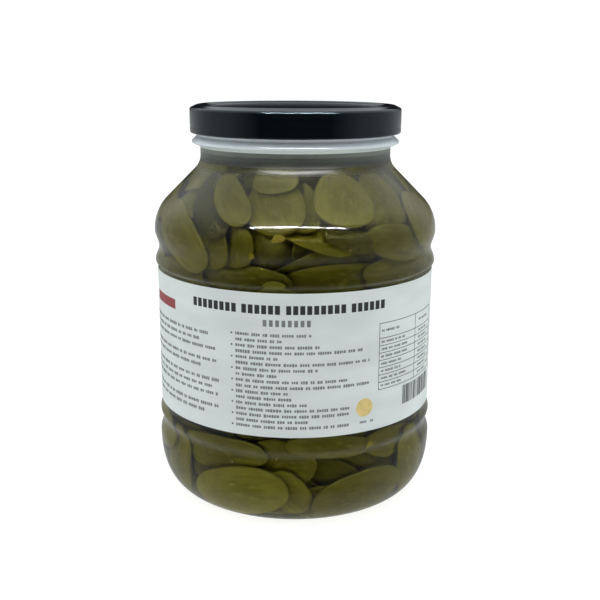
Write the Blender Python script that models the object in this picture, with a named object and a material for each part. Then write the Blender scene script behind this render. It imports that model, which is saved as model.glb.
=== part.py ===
"""A three litre clear jar of long sliced gherkins, shut with a black metal twist-off lid.

Metres, +Z up. The jar stands on Z = 0 with its axis on Z, and -Y is the front of its label.
Four pieces: the blown jar, the lid, the wraparound label and the packed slices. The brine
round the slices is no solid.
"""

import math
import random

import bmesh
import bpy

MM = 0.001

# Facets round the axis, shared by every turned piece so that their flats line up
SEGMENTS = 40
# Room between two pieces that touch on the real jar
GAP = 0.3 * MM
# Closer points of a turned section are one point
MERGE = 0.05 * MM

# Jar body, crest to crest
BODY_R = 74.7 * MM
PANEL_R = 73.1 * MM
GROOVE_R = 72.7 * MM
LAND_R = 74.4 * MM
WALL = 1.1 * MM
SHOULDER_Z = 141.8 * MM
UPPER_GROOVE_Z = 132.7 * MM
SECOND_BULGE_Z = 125.6 * MM
PANEL_TOP_Z = 122.6 * MM
PANEL_BOTTOM_Z = 47.9 * MM
LAND_Z = 43.4 * MM
LOWER_GROOVE_Z = 37.2 * MM
LOWER_BULGE_Z = 30.0 * MM

# Jar shoulder and neck
SHOULDER_ARC = 22.6 * MM
SHOULDER_SLOPE = math.radians(45)
NECK_R = 49.9 * MM
NECK_FILLET = 10.0 * MM
RING_BOTTOM_Z = 184.5 * MM
RING_TOP_Z = 190.0 * MM
RING_TIP_R = 54.3 * MM
RING_TIP_LOW_Z = 186.4 * MM
RING_TIP_HIGH_Z = 187.4 * MM
FINISH_R = 51.5 * MM
FINISH_WALL = 2.2 * MM
BEAD_R = 52.9 * MM
BEAD_Z = 198.5 * MM
BEAD_HALF = 1.6 * MM
RIM_Z = 204.7 * MM
RIM_ROUND = 0.5 * MM

# Jar heel and base
HEEL_POWER = 2.3
FOOT_R = 57.0 * MM
FOOT_INNER_R = 50.0 * MM
BASE_WALL = 1.6 * MM
PUSH_UP = 8.0 * MM

# Lid
LID_R = 55.1 * MM
LID_METAL = 0.5 * MM
LID_CORNER = 1.6 * MM
LID_CORNER_Z = 204.6 * MM
LID_RING_R = 51.4 * MM
LID_TOP_Z = 205.7 * MM
LID_PANEL_EDGE_R = 49.4 * MM
LID_PANEL_R = 48.0 * MM
LID_PANEL_Z = 204.5 * MM
LID_CURL = 1.15 * MM
LID_CURL_Z = 192.4 * MM

# Label sleeve
LABEL_TOP_Z = 121.8 * MM
LABEL_BOTTOM_Z = 49.8 * MM
LABEL_THICK = 0.3 * MM

# Packed slices
FILL_R = 71.2 * MM
FILL_NECK_R = 48.2 * MM
FILL_FOOT_R = 53.5 * MM
FILL_FOOT_Z = 2.3 * MM
FILL_TOP_Z = 176.0 * MM
CORE_DEPTH = 9.0 * MM
ROOT_DEPTH = 10.5 * MM
CORE_CLEARANCE = 1.6 * MM
CORE_SEGMENTS = 20
CORE_RINGS = 9
SLICE_SIDES = 8
SHARP_ANGLE = math.radians(40)
SEED = 12


def eased(z, z_from, r_from, z_to, r_to):
    """Radius between two heights, level at both ends."""
    t = (z - z_from) / (z_to - z_from)
    return r_from + (r_to - r_from) * (0.5 - 0.5 * math.cos(math.pi * t))


def eased_run(z_from, r_from, z_to, r_to, count):
    """Points on the eased curve after its first point, up to and with its last."""
    points = []
    for step in range(1, count + 1):
        z = z_from + (z_to - z_from) * step / count
        points.append((eased(z, z_from, r_from, z_to, r_to), z))
    return points


def arc(centre_r, centre_z, radius, start, end, count):
    """Points on an arc in the profile plane, by angles in degrees from outward."""
    points = []
    for step in range(count + 1):
        angle = math.radians(start + (end - start) * step / count)
        points.append((centre_r + radius * math.cos(angle), centre_z + radius * math.sin(angle)))
    return points


def heel(crest_r, crest_z, foot_r, foot_z, count):
    """The round heel from the lower bulge's crest to the foot, as a superellipse."""
    power = 2 / HEEL_POWER
    points = []
    for step in range(count + 1):
        angle = math.pi / 2 * step / count
        across = max(math.cos(angle), 0) ** power
        down = math.sin(angle) ** power
        points.append((foot_r + (crest_r - foot_r) * across, crest_z - (crest_z - foot_z) * down))
    return points


def shoulder_and_neck(inset, neck_r, steps):
    """From the neck down its concave fillet, the 45 degree slope and the shoulder's arc.

    Every part of the curve lies inset inside the jar's outer face."""
    slope = math.degrees(SHOULDER_SLOPE)
    centre_r = BODY_R - SHOULDER_ARC
    big = arc(centre_r, SHOULDER_Z, SHOULDER_ARC - inset, slope, 0, steps)
    fillet_r = NECK_FILLET + inset
    start_r, start_z = big[0]
    fillet_centre_r = neck_r + fillet_r
    end_r = fillet_centre_r - fillet_r * math.cos(SHOULDER_SLOPE)
    end_z = start_z + (start_r - end_r) * math.tan(SHOULDER_SLOPE)
    fillet_centre_z = end_z + fillet_r * math.sin(SHOULDER_SLOPE)
    small = arc(fillet_centre_r, fillet_centre_z, fillet_r, 180, 180 + slope, max(steps - 2, 2))
    return small + big


def bulges_and_panel(inset, steps):
    """From the shoulder's crest down to the lower bulge's crest."""
    stops = [
        (SHOULDER_Z, BODY_R),
        (UPPER_GROOVE_Z, GROOVE_R),
        (SECOND_BULGE_Z, BODY_R),
        (PANEL_TOP_Z, PANEL_R),
        (PANEL_BOTTOM_Z, PANEL_R),
        (LAND_Z, LAND_R),
        (LOWER_GROOVE_Z, GROOVE_R),
        (LOWER_BULGE_Z, BODY_R),
    ]
    points = []
    for (z_from, r_from), (z_to, r_to) in zip(stops, stops[1:]):
        count = 1 if r_from == r_to else steps
        points += eased_run(z_from, r_from - inset, z_to, r_to - inset, count)
    return points


def push_up(edge_r, rise, start, count):
    """The base's inward dome, from its edge to the axis."""
    points = []
    for step in range(count + 1):
        angle = start + (math.pi / 2 - start) * step / count
        points.append((edge_r * math.cos(angle), rise * math.sin(angle)))
    points[-1] = (0.0, rise)
    return points


def jar_profile():
    """The jar's section: up its inside from the base's middle, over the rim, down its outside."""
    inner_neck = FINISH_R - FINISH_WALL
    inner_rise = PUSH_UP + BASE_WALL
    inner_edge = FOOT_INNER_R + BASE_WALL
    start = math.asin(BASE_WALL / inner_rise)
    inside = push_up(inner_edge, inner_rise, start, 4)[::-1]
    inside += heel(BODY_R - WALL, LOWER_BULGE_Z, FOOT_R - WALL, BASE_WALL, 5)[::-1]
    inside += bulges_and_panel(WALL, 2)[::-1][1:]
    inside += shoulder_and_neck(WALL, NECK_R - WALL, 4)[::-1]
    rim = [
        (NECK_R - WALL, RING_BOTTOM_Z),
        (inner_neck, RING_TOP_Z),
        (inner_neck, RIM_Z - RIM_ROUND),
        (inner_neck + RIM_ROUND, RIM_Z),
        (FINISH_R - RIM_ROUND, RIM_Z),
        (FINISH_R, RIM_Z - RIM_ROUND),
    ]
    neck = [
        (FINISH_R, BEAD_Z + BEAD_HALF),
        (BEAD_R, BEAD_Z),
        (FINISH_R, BEAD_Z - BEAD_HALF),
        (FINISH_R, RING_TOP_Z),
        (RING_TIP_R, RING_TIP_HIGH_Z),
        (RING_TIP_R, RING_TIP_LOW_Z),
        (NECK_R, RING_BOTTOM_Z),
    ]
    outside = shoulder_and_neck(0, NECK_R, 5)
    outside += bulges_and_panel(0, 3)
    outside += heel(BODY_R, LOWER_BULGE_Z, FOOT_R, 0, 6)[1:]
    outside += push_up(FOOT_INNER_R, PUSH_UP, 0, 4)
    return inside + rim + neck + outside


def lid_profile():
    """The lid's section: out over its top, down the skirt, round the curl and back inside."""
    top = [
        (0.0, LID_PANEL_Z),
        (LID_PANEL_R, LID_PANEL_Z),
        (LID_PANEL_EDGE_R, LID_TOP_Z),
        (LID_RING_R, LID_TOP_Z),
    ]
    corner = arc(LID_R - LID_CORNER, LID_CORNER_Z - LID_CORNER, LID_CORNER, 80, 0, 3)
    curl = arc(LID_R - LID_CURL, LID_CURL_Z, LID_CURL, 0, -180, 5)
    inside_r = LID_R - LID_METAL
    under = [
        (LID_R - 2 * LID_CURL, LID_CURL_Z + LID_METAL),
        (inside_r, LID_CURL_Z + LID_CURL + LID_METAL),
        (inside_r, LID_CORNER_Z - LID_CORNER),
        (inside_r - LID_CORNER, LID_CORNER_Z - LID_METAL),
        (LID_RING_R, LID_TOP_Z - LID_METAL),
        (LID_PANEL_EDGE_R + LID_METAL / 2, LID_TOP_Z - LID_METAL),
        (LID_PANEL_R + LID_METAL / 2, LID_PANEL_Z - LID_METAL),
        (0.0, LID_PANEL_Z - LID_METAL),
    ]
    return top + corner + curl + under


def label_profile():
    """The label sleeve's section, in the panel's recess."""
    inner = PANEL_R + GAP
    outer = inner + LABEL_THICK
    return [
        (inner, LABEL_TOP_Z),
        (outer, LABEL_TOP_Z),
        (outer, LABEL_BOTTOM_Z),
        (inner, LABEL_BOTTOM_Z),
    ]


def fill_line():
    """The line that the packed slices press against, from the foot up into the neck."""
    points = heel(FILL_R, LOWER_BULGE_Z, FILL_FOOT_R, FILL_FOOT_Z, 24)[::-1]
    inset = BODY_R - FILL_R
    upper = shoulder_and_neck(inset, FILL_NECK_R, 16)[::-1]
    return points + [p for p in upper if p[1] < FILL_TOP_Z] + [(FILL_NECK_R, FILL_TOP_Z)]


def lengths_along(line):
    """How far each point of the line lies from its start."""
    total = [0.0]
    for (r_a, z_a), (r_b, z_b) in zip(line, line[1:]):
        total.append(total[-1] + math.hypot(r_b - r_a, z_b - z_a))
    return total


def place_on(line, total, along, depth):
    """Radius and height at a distance along the fill line and a depth inside it."""
    along = min(max(along, 0.0), total[-1])
    index = 0
    while index < len(line) - 2 and total[index + 1] < along:
        index += 1
    (r_a, z_a), (r_b, z_b) = line[index], line[index + 1]
    span = total[index + 1] - total[index]
    share = (along - total[index]) / span
    out_r = (z_b - z_a) / span
    out_z = (r_a - r_b) / span
    r = r_a + (r_b - r_a) * share
    z = z_a + (z_b - z_a) * share
    return r - out_r * depth, z - out_z * depth


def material(name, colour, roughness, metallic=0.0, transmission=0.0, alpha=1.0):
    """A plain Principled material."""
    made = bpy.data.materials.new(name)
    made.use_nodes = True
    shader = made.node_tree.nodes["Principled BSDF"]
    shader.inputs["Base Color"].default_value = (*colour, 1.0)
    shader.inputs["Roughness"].default_value = roughness
    shader.inputs["Metallic"].default_value = metallic
    shader.inputs["Transmission Weight"].default_value = transmission
    shader.inputs["Alpha"].default_value = alpha
    return made


def new_object(name, mesh, look=None):
    """Links a mesh to the scene as an object."""
    made = bpy.data.objects.new(name, mesh)
    bpy.context.scene.collection.objects.link(made)
    if look is not None:
        mesh.materials.append(look)
    return made


def turned(name, profile, look, closed=False, segments=SEGMENTS):
    """A piece turned about Z from its section, by a Screw modifier."""
    mesh = bpy.data.meshes.new(name)
    edges = [(i, i + 1) for i in range(len(profile) - 1)]
    if closed:
        edges.append((len(profile) - 1, 0))
    mesh.from_pydata([(r, 0.0, z) for r, z in profile], edges, [])
    piece = new_object(name, mesh, look)
    screw = piece.modifiers.new("Turn", "SCREW")
    screw.axis = "Z"
    screw.angle = 2 * math.pi
    screw.steps = segments
    screw.render_steps = segments
    screw.use_merge_vertices = True
    screw.merge_threshold = MERGE
    screw.use_smooth_shade = True
    return piece


def freeze(piece):
    """Turns a piece's modifiers into its mesh."""
    graph = bpy.context.evaluated_depsgraph_get()
    mesh = bpy.data.meshes.new_from_object(piece.evaluated_get(graph))
    piece.modifiers.clear()
    piece.data = mesh


def slice_places():
    """Where the slices lie: turn round the jar in degrees from the front, distance along the
    fill line, half length, half width, tilt in degrees from upright, and depth."""
    rng = random.Random(SEED)
    places = [
        (24, 175.5, 17, 16, 0, 0.4),
        (50, 171, 17, 13.5, 10, 2.6),
        (71, 160, 15, 10, -4, 0.6),
        (-10, 188, 11, 9.5, 0, 0.4),
        (-8, 173, 18, 15, -10, 3.0),
        (4, 171, 16, 8, 6, 1.6),
        (-30, 174, 18, 8.5, 2, 0.5),
        (-43, 170, 22, 9, -6, 4.4),
        (-64, 174, 12, 9, 20, 1.2),
        (-55, 152, 23, 14, -38, 0.4),
        (-42, 160, 15, 11, -34, 1.8),
        (-32, 147, 17, 9, -36, 2.6),
        (-22, 150, 15, 8, 6, 0.8),
        (-6, 153, 20, 10, 80, 3.6),
        (16, 155, 25, 8, -66, 1.0),
        (42, 150, 23, 12, 72, 2.2),
        (-18, 135, 21, 9, 80, 2.2),
        (14, 133, 27, 9, 87, 2.8),
        (52, 136, 22, 10, 70, 1.4),
        (-50, 133, 22, 10, -70, 1.2),
        (-17, 21, 17, 13, 68, 0.4),
        (0, 20, 15, 10, -12, 1.2),
        (28, 21, 26, 13, 74, 0.5),
        (7, 34, 18, 9, -50, 1.8),
        (-39, 38, 22, 10, -70, 1.2),
        (-46, 21, 17, 12, 50, 0.8),
        (20, 50, 26, 8, -82, 0.8),
        (52, 40, 20, 11, 40, 2.6),
        (68, 26, 22, 12, -30, 0.8),
        (-20, 54, 22, 9, 84, 2.4),
    ]
    rows = [
        (7, 20, 88, 284),
        (9, 45, 76, 288),
        (3, 82, 0, 360),
        (3, 112, 60, 420),
        (8, 140, 74, 290),
        (8, 165, 84, 284),
        (3, 186, 40, 330),
    ]
    for count, along, start, end in rows:
        for index in range(count):
            turn = start + (end - start) * (index + 0.5) / count + rng.uniform(-5, 5)
            half_length = rng.uniform(19, 31)
            half_width = rng.uniform(11, 15)
            tilt = rng.choice([rng.uniform(-40, 40), rng.uniform(50, 130)])
            depth = rng.choice([0.4, 1.4, 3.0, 4.2])
            shift = rng.uniform(-5, 5)
            places.append((turn, along + shift, half_length, half_width, tilt, depth))
    return places


def slice_on_core(name, place, line, total):
    """One oval slice, bent to the wall, whose back reaches into the core."""
    turn, along, half_length, half_width, tilt, depth = place
    centre_r = place_on(line, total, along * MM, depth * MM)[0]
    lean = math.radians(tilt)
    front_ring = []
    back_ring = []
    made = bmesh.new()
    for side in range(SLICE_SIDES):
        angle = 2 * math.pi * side / SLICE_SIDES
        lengthwise = half_length * MM * math.cos(angle)
        crosswise = half_width * MM * math.sin(angle)
        up = lengthwise * math.cos(lean) - crosswise * math.sin(lean)
        round_jar = lengthwise * math.sin(lean) + crosswise * math.cos(lean)
        bearing = math.radians(turn) + round_jar / centre_r
        for ring, deep in ((front_ring, depth * MM), (back_ring, ROOT_DEPTH)):
            r, z = place_on(line, total, along * MM + up, deep)
            ring.append(made.verts.new((r * math.sin(bearing), -r * math.cos(bearing), z)))
    middle_r, middle_z = place_on(line, total, along * MM, depth * MM)
    back_r, back_z = place_on(line, total, along * MM, ROOT_DEPTH)
    aim = math.radians(turn)
    middle = made.verts.new((middle_r * math.sin(aim), -middle_r * math.cos(aim), middle_z))
    behind = made.verts.new((back_r * math.sin(aim), -back_r * math.cos(aim), back_z))
    for side in range(SLICE_SIDES):
        after = (side + 1) % SLICE_SIDES
        made.faces.new((middle, front_ring[side], front_ring[after]))
        made.faces.new((behind, back_ring[after], back_ring[side]))
        made.faces.new((front_ring[after], front_ring[side], back_ring[side], back_ring[after]))
    bmesh.ops.triangulate(made, faces=made.faces)
    bmesh.ops.recalc_face_normals(made, faces=made.faces)
    mesh = bpy.data.meshes.new(name)
    made.to_mesh(mesh)
    made.free()
    return bpy.data.objects.new(name, mesh)


def core_profile():
    """The core under the slices, a set depth inside the fill line."""
    line = fill_line()
    total = lengths_along(line)
    wall = []
    for step in range(CORE_RINGS + 1):
        along = total[-1] * step / CORE_RINGS
        wall.append(place_on(line, total, along, CORE_DEPTH))
    low_z = PUSH_UP + BASE_WALL + CORE_CLEARANCE
    wall = [(r, max(z, low_z)) for r, z in wall]
    return [(0.0, FILL_TOP_Z)] + wall[::-1] + [(0.0, low_z)]


def keep_largest(mesh):
    """Drops loose scraps and fills sealed hollows, keeping the outermost shell."""
    made = bmesh.new()
    made.from_mesh(mesh)
    left = set(made.verts)
    shells = []
    while left:
        stack = [left.pop()]
        shell = set(stack)
        while stack:
            for edge in stack.pop().link_edges:
                for vert in edge.verts:
                    if vert in left:
                        left.discard(vert)
                        shell.add(vert)
                        stack.append(vert)
        shells.append(shell)
    shells.sort(key=len)
    for shell in shells[:-1]:
        bmesh.ops.delete(made, geom=list(shell), context="VERTS")
    made.to_mesh(mesh)
    made.free()


def packed_slices(look):
    """The heap: a core with every slice fused on by one union."""
    heap = turned("pickle_slices", core_profile(), look, segments=CORE_SEGMENTS)
    freeze(heap)
    line = fill_line()
    total = lengths_along(line)
    group = bpy.data.collections.new("slices")
    for index, place in enumerate(slice_places()):
        group.objects.link(slice_on_core(f"slice_{index}", place, line, total))
    fuse = heap.modifiers.new("Fuse", "BOOLEAN")
    fuse.operation = "UNION"
    fuse.operand_type = "COLLECTION"
    fuse.collection = group
    fuse.solver = "MANIFOLD"
    bpy.context.view_layer.update()
    freeze(heap)
    for piece in list(group.objects):
        bpy.data.objects.remove(piece)
    bpy.data.collections.remove(group)
    keep_largest(heap.data)
    heap.data.set_sharp_from_angle(angle=SHARP_ANGLE)
    return heap


def clear_scene():
    """Removes whatever the scene holds."""
    for piece in list(bpy.data.objects):
        bpy.data.objects.remove(piece)


def build():
    """Makes the four pieces."""
    clear_scene()
    plastic = material("clear_plastic", (0.93, 0.95, 0.94), 0.05, transmission=0.9, alpha=0.35)
    lacquer = material("black_lacquer", (0.012, 0.015, 0.018), 0.28, metallic=0.2)
    paper = material("label_paper", (0.78, 0.81, 0.80), 0.45)
    gherkin = material("gherkin", (0.20, 0.20, 0.06), 0.4)
    turned("jar", jar_profile(), plastic)
    turned("lid", lid_profile(), lacquer)
    turned("label", label_profile(), paper, closed=True)
    packed_slices(gherkin)


build()
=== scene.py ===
# %% [markdown]
# A big jar of sliced gherkins
#
# The jar is blown from clear plastic, packed with long gherkin slices in brine, dressed with a
# wraparound paper label and shut with a black twist-off lid. The sizes come from a measured
# frame, which stays fixed: this lesson makes the smooth surfaces and the finishes over it.
# Lengths are in metres, Z is up, and the front of the label faces -Y.

import math
import random

import bpy
import numpy as np
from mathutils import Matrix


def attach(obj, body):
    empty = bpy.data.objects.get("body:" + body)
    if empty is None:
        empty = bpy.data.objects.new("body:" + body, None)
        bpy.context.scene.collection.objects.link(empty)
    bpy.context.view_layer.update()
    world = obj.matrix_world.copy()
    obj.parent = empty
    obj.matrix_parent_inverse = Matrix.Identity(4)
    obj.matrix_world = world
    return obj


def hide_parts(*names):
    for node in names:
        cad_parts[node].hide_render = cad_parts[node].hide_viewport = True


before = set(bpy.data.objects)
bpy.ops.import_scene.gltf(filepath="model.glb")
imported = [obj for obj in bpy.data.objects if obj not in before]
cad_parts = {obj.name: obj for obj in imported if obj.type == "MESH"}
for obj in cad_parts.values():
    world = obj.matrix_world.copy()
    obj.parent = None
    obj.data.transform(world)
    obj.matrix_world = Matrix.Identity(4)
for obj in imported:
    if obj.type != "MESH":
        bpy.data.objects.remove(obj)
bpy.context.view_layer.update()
MM = 0.001
print("nodes:", ", ".join(sorted(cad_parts)))

# %% [markdown]
# The camera
#
# A product picture like this one is taken from a step away, a little above the jar, so the lid
# and the label's edges show as flat ellipses. How flat they are gives the tilt, and how their
# flatness grows towards the foot gives the distance. A lens is often given in millimetres, but
# here it is worked out from the picture: how many pixels one unit of width takes at one unit
# of distance.

# %% The camera
IMAGE_PIXELS = 600
LENS_PIXELS = 932
SENSOR_MM = 36.0
CAMERA_PLACE = (0.0022, -0.4960, 0.2250)
CAMERA_TILT = math.radians(14.1)
CAMERA_ROLL = math.radians(-0.25)

lens = bpy.data.cameras.new("camera")
lens.sensor_width = SENSOR_MM
lens.lens = SENSOR_MM * LENS_PIXELS / IMAGE_PIXELS
camera = bpy.data.objects.new("camera", lens)
camera.location = CAMERA_PLACE
camera.rotation_euler = (math.pi / 2 - CAMERA_TILT, CAMERA_ROLL, 0.0)
scene = bpy.context.scene
scene.collection.objects.link(camera)
scene.camera = camera
print("focal length, mm:", round(lens.lens, 1))

# %% [markdown]
# Small helpers for shader nodes
#
# Materials are graphs of nodes. Wiring them by hand is long, so small helpers add a node with
# its settings, do a sum, spread a number over a new range, or mix two colours. They hand back
# the output socket, so one call can feed the next, as in a formula.


# %% Node helpers
def feed(made, inputs):
    """Gives a node's inputs their values, or links them from sockets. Colours get their alpha."""
    for key, value in inputs.items():
        socket = made.inputs[key]
        if isinstance(value, bpy.types.NodeSocket):
            made.id_data.links.new(value, socket)
        elif socket.type == "RGBA":
            socket.default_value = (*value, 1.0)
        else:
            socket.default_value = value


def node(tree, kind, inputs=None, **settings):
    """Adds a node with its settings and its inputs."""
    made = tree.nodes.new(kind)
    for name, value in settings.items():
        setattr(made, name, value)
    feed(made, inputs or {})
    return made


def maths(tree, operation, *values):
    """One sum on numbers or sockets."""
    return node(tree, "ShaderNodeMath", dict(enumerate(values)), operation=operation).outputs[0]


def spread(tree, value, start, end, low=0.0, high=1.0):
    """Maps the run from start to end onto low to high, level beyond its ends."""
    return node(tree, "ShaderNodeMapRange", {0: value, 1: start, 2: end, 3: low, 4: high}).outputs[0]


def band(tree, value, low, high, soft):
    """1 where the value lies between low and high, with soft edges."""
    rise = spread(tree, value, low - soft, low + soft)
    fall = spread(tree, value, high + soft, high - soft)
    return maths(tree, "MULTIPLY", rise, fall)


def between(tree, factor, first, second):
    """Two numbers mixed by a factor."""
    return node(tree, "ShaderNodeMix", {0: factor, 2: first, 3: second}).outputs[0]


def mixed(tree, factor, first, second, blend="MIX"):
    """Two colours mixed by a factor."""
    colours = {0: factor, 6: first, 7: second}
    return node(tree, "ShaderNodeMix", colours, data_type="RGBA", blend_type=blend).outputs[2]


def ramp(tree, value, stops):
    """A colour ramp from (place, colour) pairs."""
    made = node(tree, "ShaderNodeValToRGB", {0: value})
    elements = made.color_ramp.elements
    while len(elements) < len(stops):
        elements.new(0.5)
    for element, (place, colour) in zip(elements, stops):
        element.position = place
        element.color = (*colour, 1.0)
    return made.outputs[0]


# %% [markdown]
# Soft studio light
#
# The jar stands in a tent of white cloth. Its front opening, where the camera looks in, is dark,
# and so is a low patch of the wall behind the jar. The upright walls of the glossy black lid and
# of the jar mirror the dark opening, so they show black lacquer and deep olive. The sloping
# shoulder mirrors the bright roof of the tent, which lays a grey veil over the slices behind it.
# A tent could be built from lamps and panels, but the world shader can hold it whole: it reads
# the direction of a ray and answers with a brightness. Rays from the camera get plain white,
# which gives the clean background.

# %% The tent
TENT_ROOF = 1.34
TENT_SIDE = 0.50
TENT_FLOOR = 0.62
DARK_LEVEL = 0.012
BACK_LEVEL = 0.012
OPENING_HALF_WIDTH = math.radians(56)
OPENING_TOP = math.sin(math.radians(47))
OPENING_BOTTOM = math.sin(math.radians(-42))
BACK_HALF_WIDTH = math.radians(30)
BACK_TOP = math.sin(math.radians(22))
BACK_BOTTOM = math.sin(math.radians(-2))
EDGE = 0.03
BACK_EDGE = 0.05
TURN_EDGE = 0.32
BACKDROP = 1.03
FULL_ROOF = 0.8
STRAIGHT_DOWN = -2.0
CLOTH = (0.94, 0.985, 1.0)
WHITE = (1.0, 1.0, 1.0)


def tent_world():
    """The world as a tent of light with a dark opening at the front and a dim back."""
    world = bpy.data.worlds.new("tent")
    world.use_nodes = True
    tree = world.node_tree
    tree.nodes.clear()
    way = node(tree, "ShaderNodeTexCoord").outputs["Generated"]
    x, y, z = node(tree, "ShaderNodeSeparateXYZ", {0: way}).outputs
    wall = spread(tree, z, 0.0, FULL_ROOF, TENT_SIDE, TENT_ROOF)
    level = between(tree, band(tree, z, STRAIGHT_DOWN, OPENING_BOTTOM, EDGE), wall, TENT_FLOOR)
    from_front = maths(tree, "ARCTAN2", x, maths(tree, "MULTIPLY", y, -1.0))
    from_back = maths(tree, "ARCTAN2", x, y)
    holes = (
        (from_back, BACK_HALF_WIDTH, BACK_BOTTOM, BACK_TOP, BACK_LEVEL, BACK_EDGE),
        (from_front, OPENING_HALF_WIDTH, OPENING_BOTTOM, OPENING_TOP, DARK_LEVEL, EDGE),
    )
    for turn, half_width, low, high, dark, soft in holes:
        across = band(tree, turn, -half_width, half_width, min(TURN_EDGE, half_width / 2))
        hole = maths(tree, "MULTIPLY", across, band(tree, z, low, high, soft))
        level = between(tree, hole, level, dark)
    glow = node(tree, "ShaderNodeBackground", {0: CLOTH, 1: level}).outputs[0]
    plain = node(tree, "ShaderNodeBackground", {0: WHITE, 1: BACKDROP}).outputs[0]
    seen = node(tree, "ShaderNodeLightPath").outputs["Is Camera Ray"]
    both = node(tree, "ShaderNodeMixShader", {0: seen, 1: glow, 2: plain})
    node(tree, "ShaderNodeOutputWorld", {0: both.outputs[0]})
    return world


scene.world = tent_world()
print("dark opening, degrees wide:", round(math.degrees(2 * OPENING_HALF_WIDTH)))

# %% [markdown]
# A single tube lamp lies across the top of the opening. It is far brighter than the cloth, so
# each crest of the jar draws it as one thin bright line. A long narrow area light gives just
# that, and it is kept out of the soft light, which the tent alone gives.

# %% The tube lamp
TUBE_DISTANCE = 1.3
TUBE_LIFT = math.radians(48)
TUBE_LENGTH = 1.7
TUBE_WIDTH = 0.015
TUBE_WATTS = 72.0
AIM_Z = 0.12
TUBE_ASIDE = 0.10

tube = bpy.data.lights.new("tube", "AREA")
tube.shape = "RECTANGLE"
tube.size = TUBE_LENGTH
tube.size_y = TUBE_WIDTH
tube.energy = TUBE_WATTS
lamp = bpy.data.objects.new("tube", tube)
reach = TUBE_DISTANCE * math.cos(TUBE_LIFT)
lamp.location = (TUBE_ASIDE, -reach, AIM_Z + TUBE_DISTANCE * math.sin(TUBE_LIFT))
lamp.rotation_euler = (math.pi / 2 - TUBE_LIFT, 0.0, 0.0)
lamp.visible_diffuse = False
scene.collection.objects.link(lamp)
print("tube lamp at", tuple(round(c, 2) for c in lamp.location))

# %% [markdown]
# The floor
#
# The jar stands on white board. The board glows a little by itself, as board lit from below
# does on a product table, so it melts into the backdrop and keeps only a faint contact shadow.
# A Light Path node gives it two levels: the camera sees the brighter one, and the jar is lit by
# the lower one. What the jar and the lid mirror is left to the tent: a reflected ray passes the
# board.

# %% The floor
FLOOR_HALF = 3.0
FLOOR_GLOW = 0.86
FLOOR_BOUNCE = 0.70
BOARD_TONES = [(0.3, (0.30, 0.30, 0.30)), (0.7, (0.32, 0.32, 0.32))]


def plain_mesh(name, points, faces):
    """A mesh from its points and faces."""
    mesh = bpy.data.meshes.new(name)
    mesh.from_pydata(points, [], faces)
    return mesh


def new_look(name):
    """A new material, with its node tree and its shader."""
    look = bpy.data.materials.new(name)
    look.use_nodes = True
    return look, look.node_tree, look.node_tree.nodes["Principled BSDF"]


def swap_shader(tree, factor, shader, other):
    """Feeds the surface from the shader, or from the other one where the factor is 1."""
    both = node(tree, "ShaderNodeMixShader", {0: factor, 1: shader.outputs[0], 2: other.outputs[0]})
    feed(tree.nodes["Material Output"], {"Surface": both.outputs[0]})


def board_look():
    """White board with a glow, which reflected rays pass."""
    look, tree, shader = new_look("white board")
    speck = node(tree, "ShaderNodeTexNoise", {"Scale": 40.0}).outputs[0]
    path = node(tree, "ShaderNodeLightPath").outputs
    feed(shader, {
        "Base Color": ramp(tree, speck, BOARD_TONES),
        "Roughness": 0.9,
        "Specular IOR Level": 0.1,
        "Emission Color": WHITE,
        "Emission Strength": between(tree, path["Is Camera Ray"], FLOOR_BOUNCE, FLOOR_GLOW),
    })
    mirrored = maths(tree, "MULTIPLY", path["Is Reflection Ray"], path["Is Glossy Ray"])
    swap_shader(tree, mirrored, shader, node(tree, "ShaderNodeBsdfTransparent"))
    return look


h = FLOOR_HALF
floor_mesh = plain_mesh("floor", [(-h, -h, 0), (h, -h, 0), (h, h, 0), (-h, h, 0)], [(0, 1, 2, 3)])
floor_mesh.materials.append(board_look())
board = bpy.data.objects.new("floor", floor_mesh)
scene.collection.objects.link(board)
scene.view_settings.view_transform = "Standard"
scene.cycles.use_denoising = True
scene.cycles.transmission_bounces = 12
scene.cycles.transparent_max_bounces = 16
print("floor, metres wide:", 2 * FLOOR_HALF)

# %% [markdown]
# Turned shapes
#
# The jar, the lid, the brine and the core of the filling are round, so each is one outline
# turned about Z. The outlines are built from three simple parts: an arc, an eased run that is
# level at both ends, as blown bulges are, and straight lines with rounded corners.


# %% Outline helpers
def arc(centre_r, centre_z, radius, start, end, count):
    """Points on an arc in the profile plane, by angles in degrees from outward."""
    angles = [math.radians(start + (end - start) * step / count) for step in range(count + 1)]
    return [(centre_r + radius * math.cos(a), centre_z + radius * math.sin(a)) for a in angles]


def eased_run(z_from, r_from, z_to, r_to, count):
    """Points between two heights, level at both ends, after the first and with the last."""
    points = []
    for step in range(1, count + 1):
        t = step / count
        ease = 0.5 - 0.5 * math.cos(math.pi * t)
        points.append((r_from + (r_to - r_from) * ease, z_from + (z_to - z_from) * t))
    return points


def rounded(corners, radius, count=3):
    """A line through the corners, each inner one cut back and rounded."""
    points = [corners[0]]
    for before, corner, after in zip(corners, corners[1:], corners[2:]):
        here = np.array(corner)
        to_before = np.array(before) - here
        to_after = np.array(after) - here
        cut = min(radius, 0.45 * np.linalg.norm(to_before), 0.45 * np.linalg.norm(to_after))
        start = here + to_before / np.linalg.norm(to_before) * cut
        end = here + to_after / np.linalg.norm(to_after) * cut
        for step in range(count + 1):
            t = step / count
            points.append(tuple((1 - t) ** 2 * start + 2 * t * (1 - t) * here + t * t * end))
    points.append(corners[-1])
    return points


# %% [markdown]
# Turning an outline
#
# Blender's Screw modifier turns an outline in many steps and joins the last to the first. The
# result is kept as a plain mesh. A finished mesh becomes a piece of the jar when it gets its
# materials and rides on the frame, and the plain shape it replaces is hidden.

# %% Turned meshes and pieces
SMOOTH_SEGMENTS = 192
MERGE = 0.02 * MM


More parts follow.
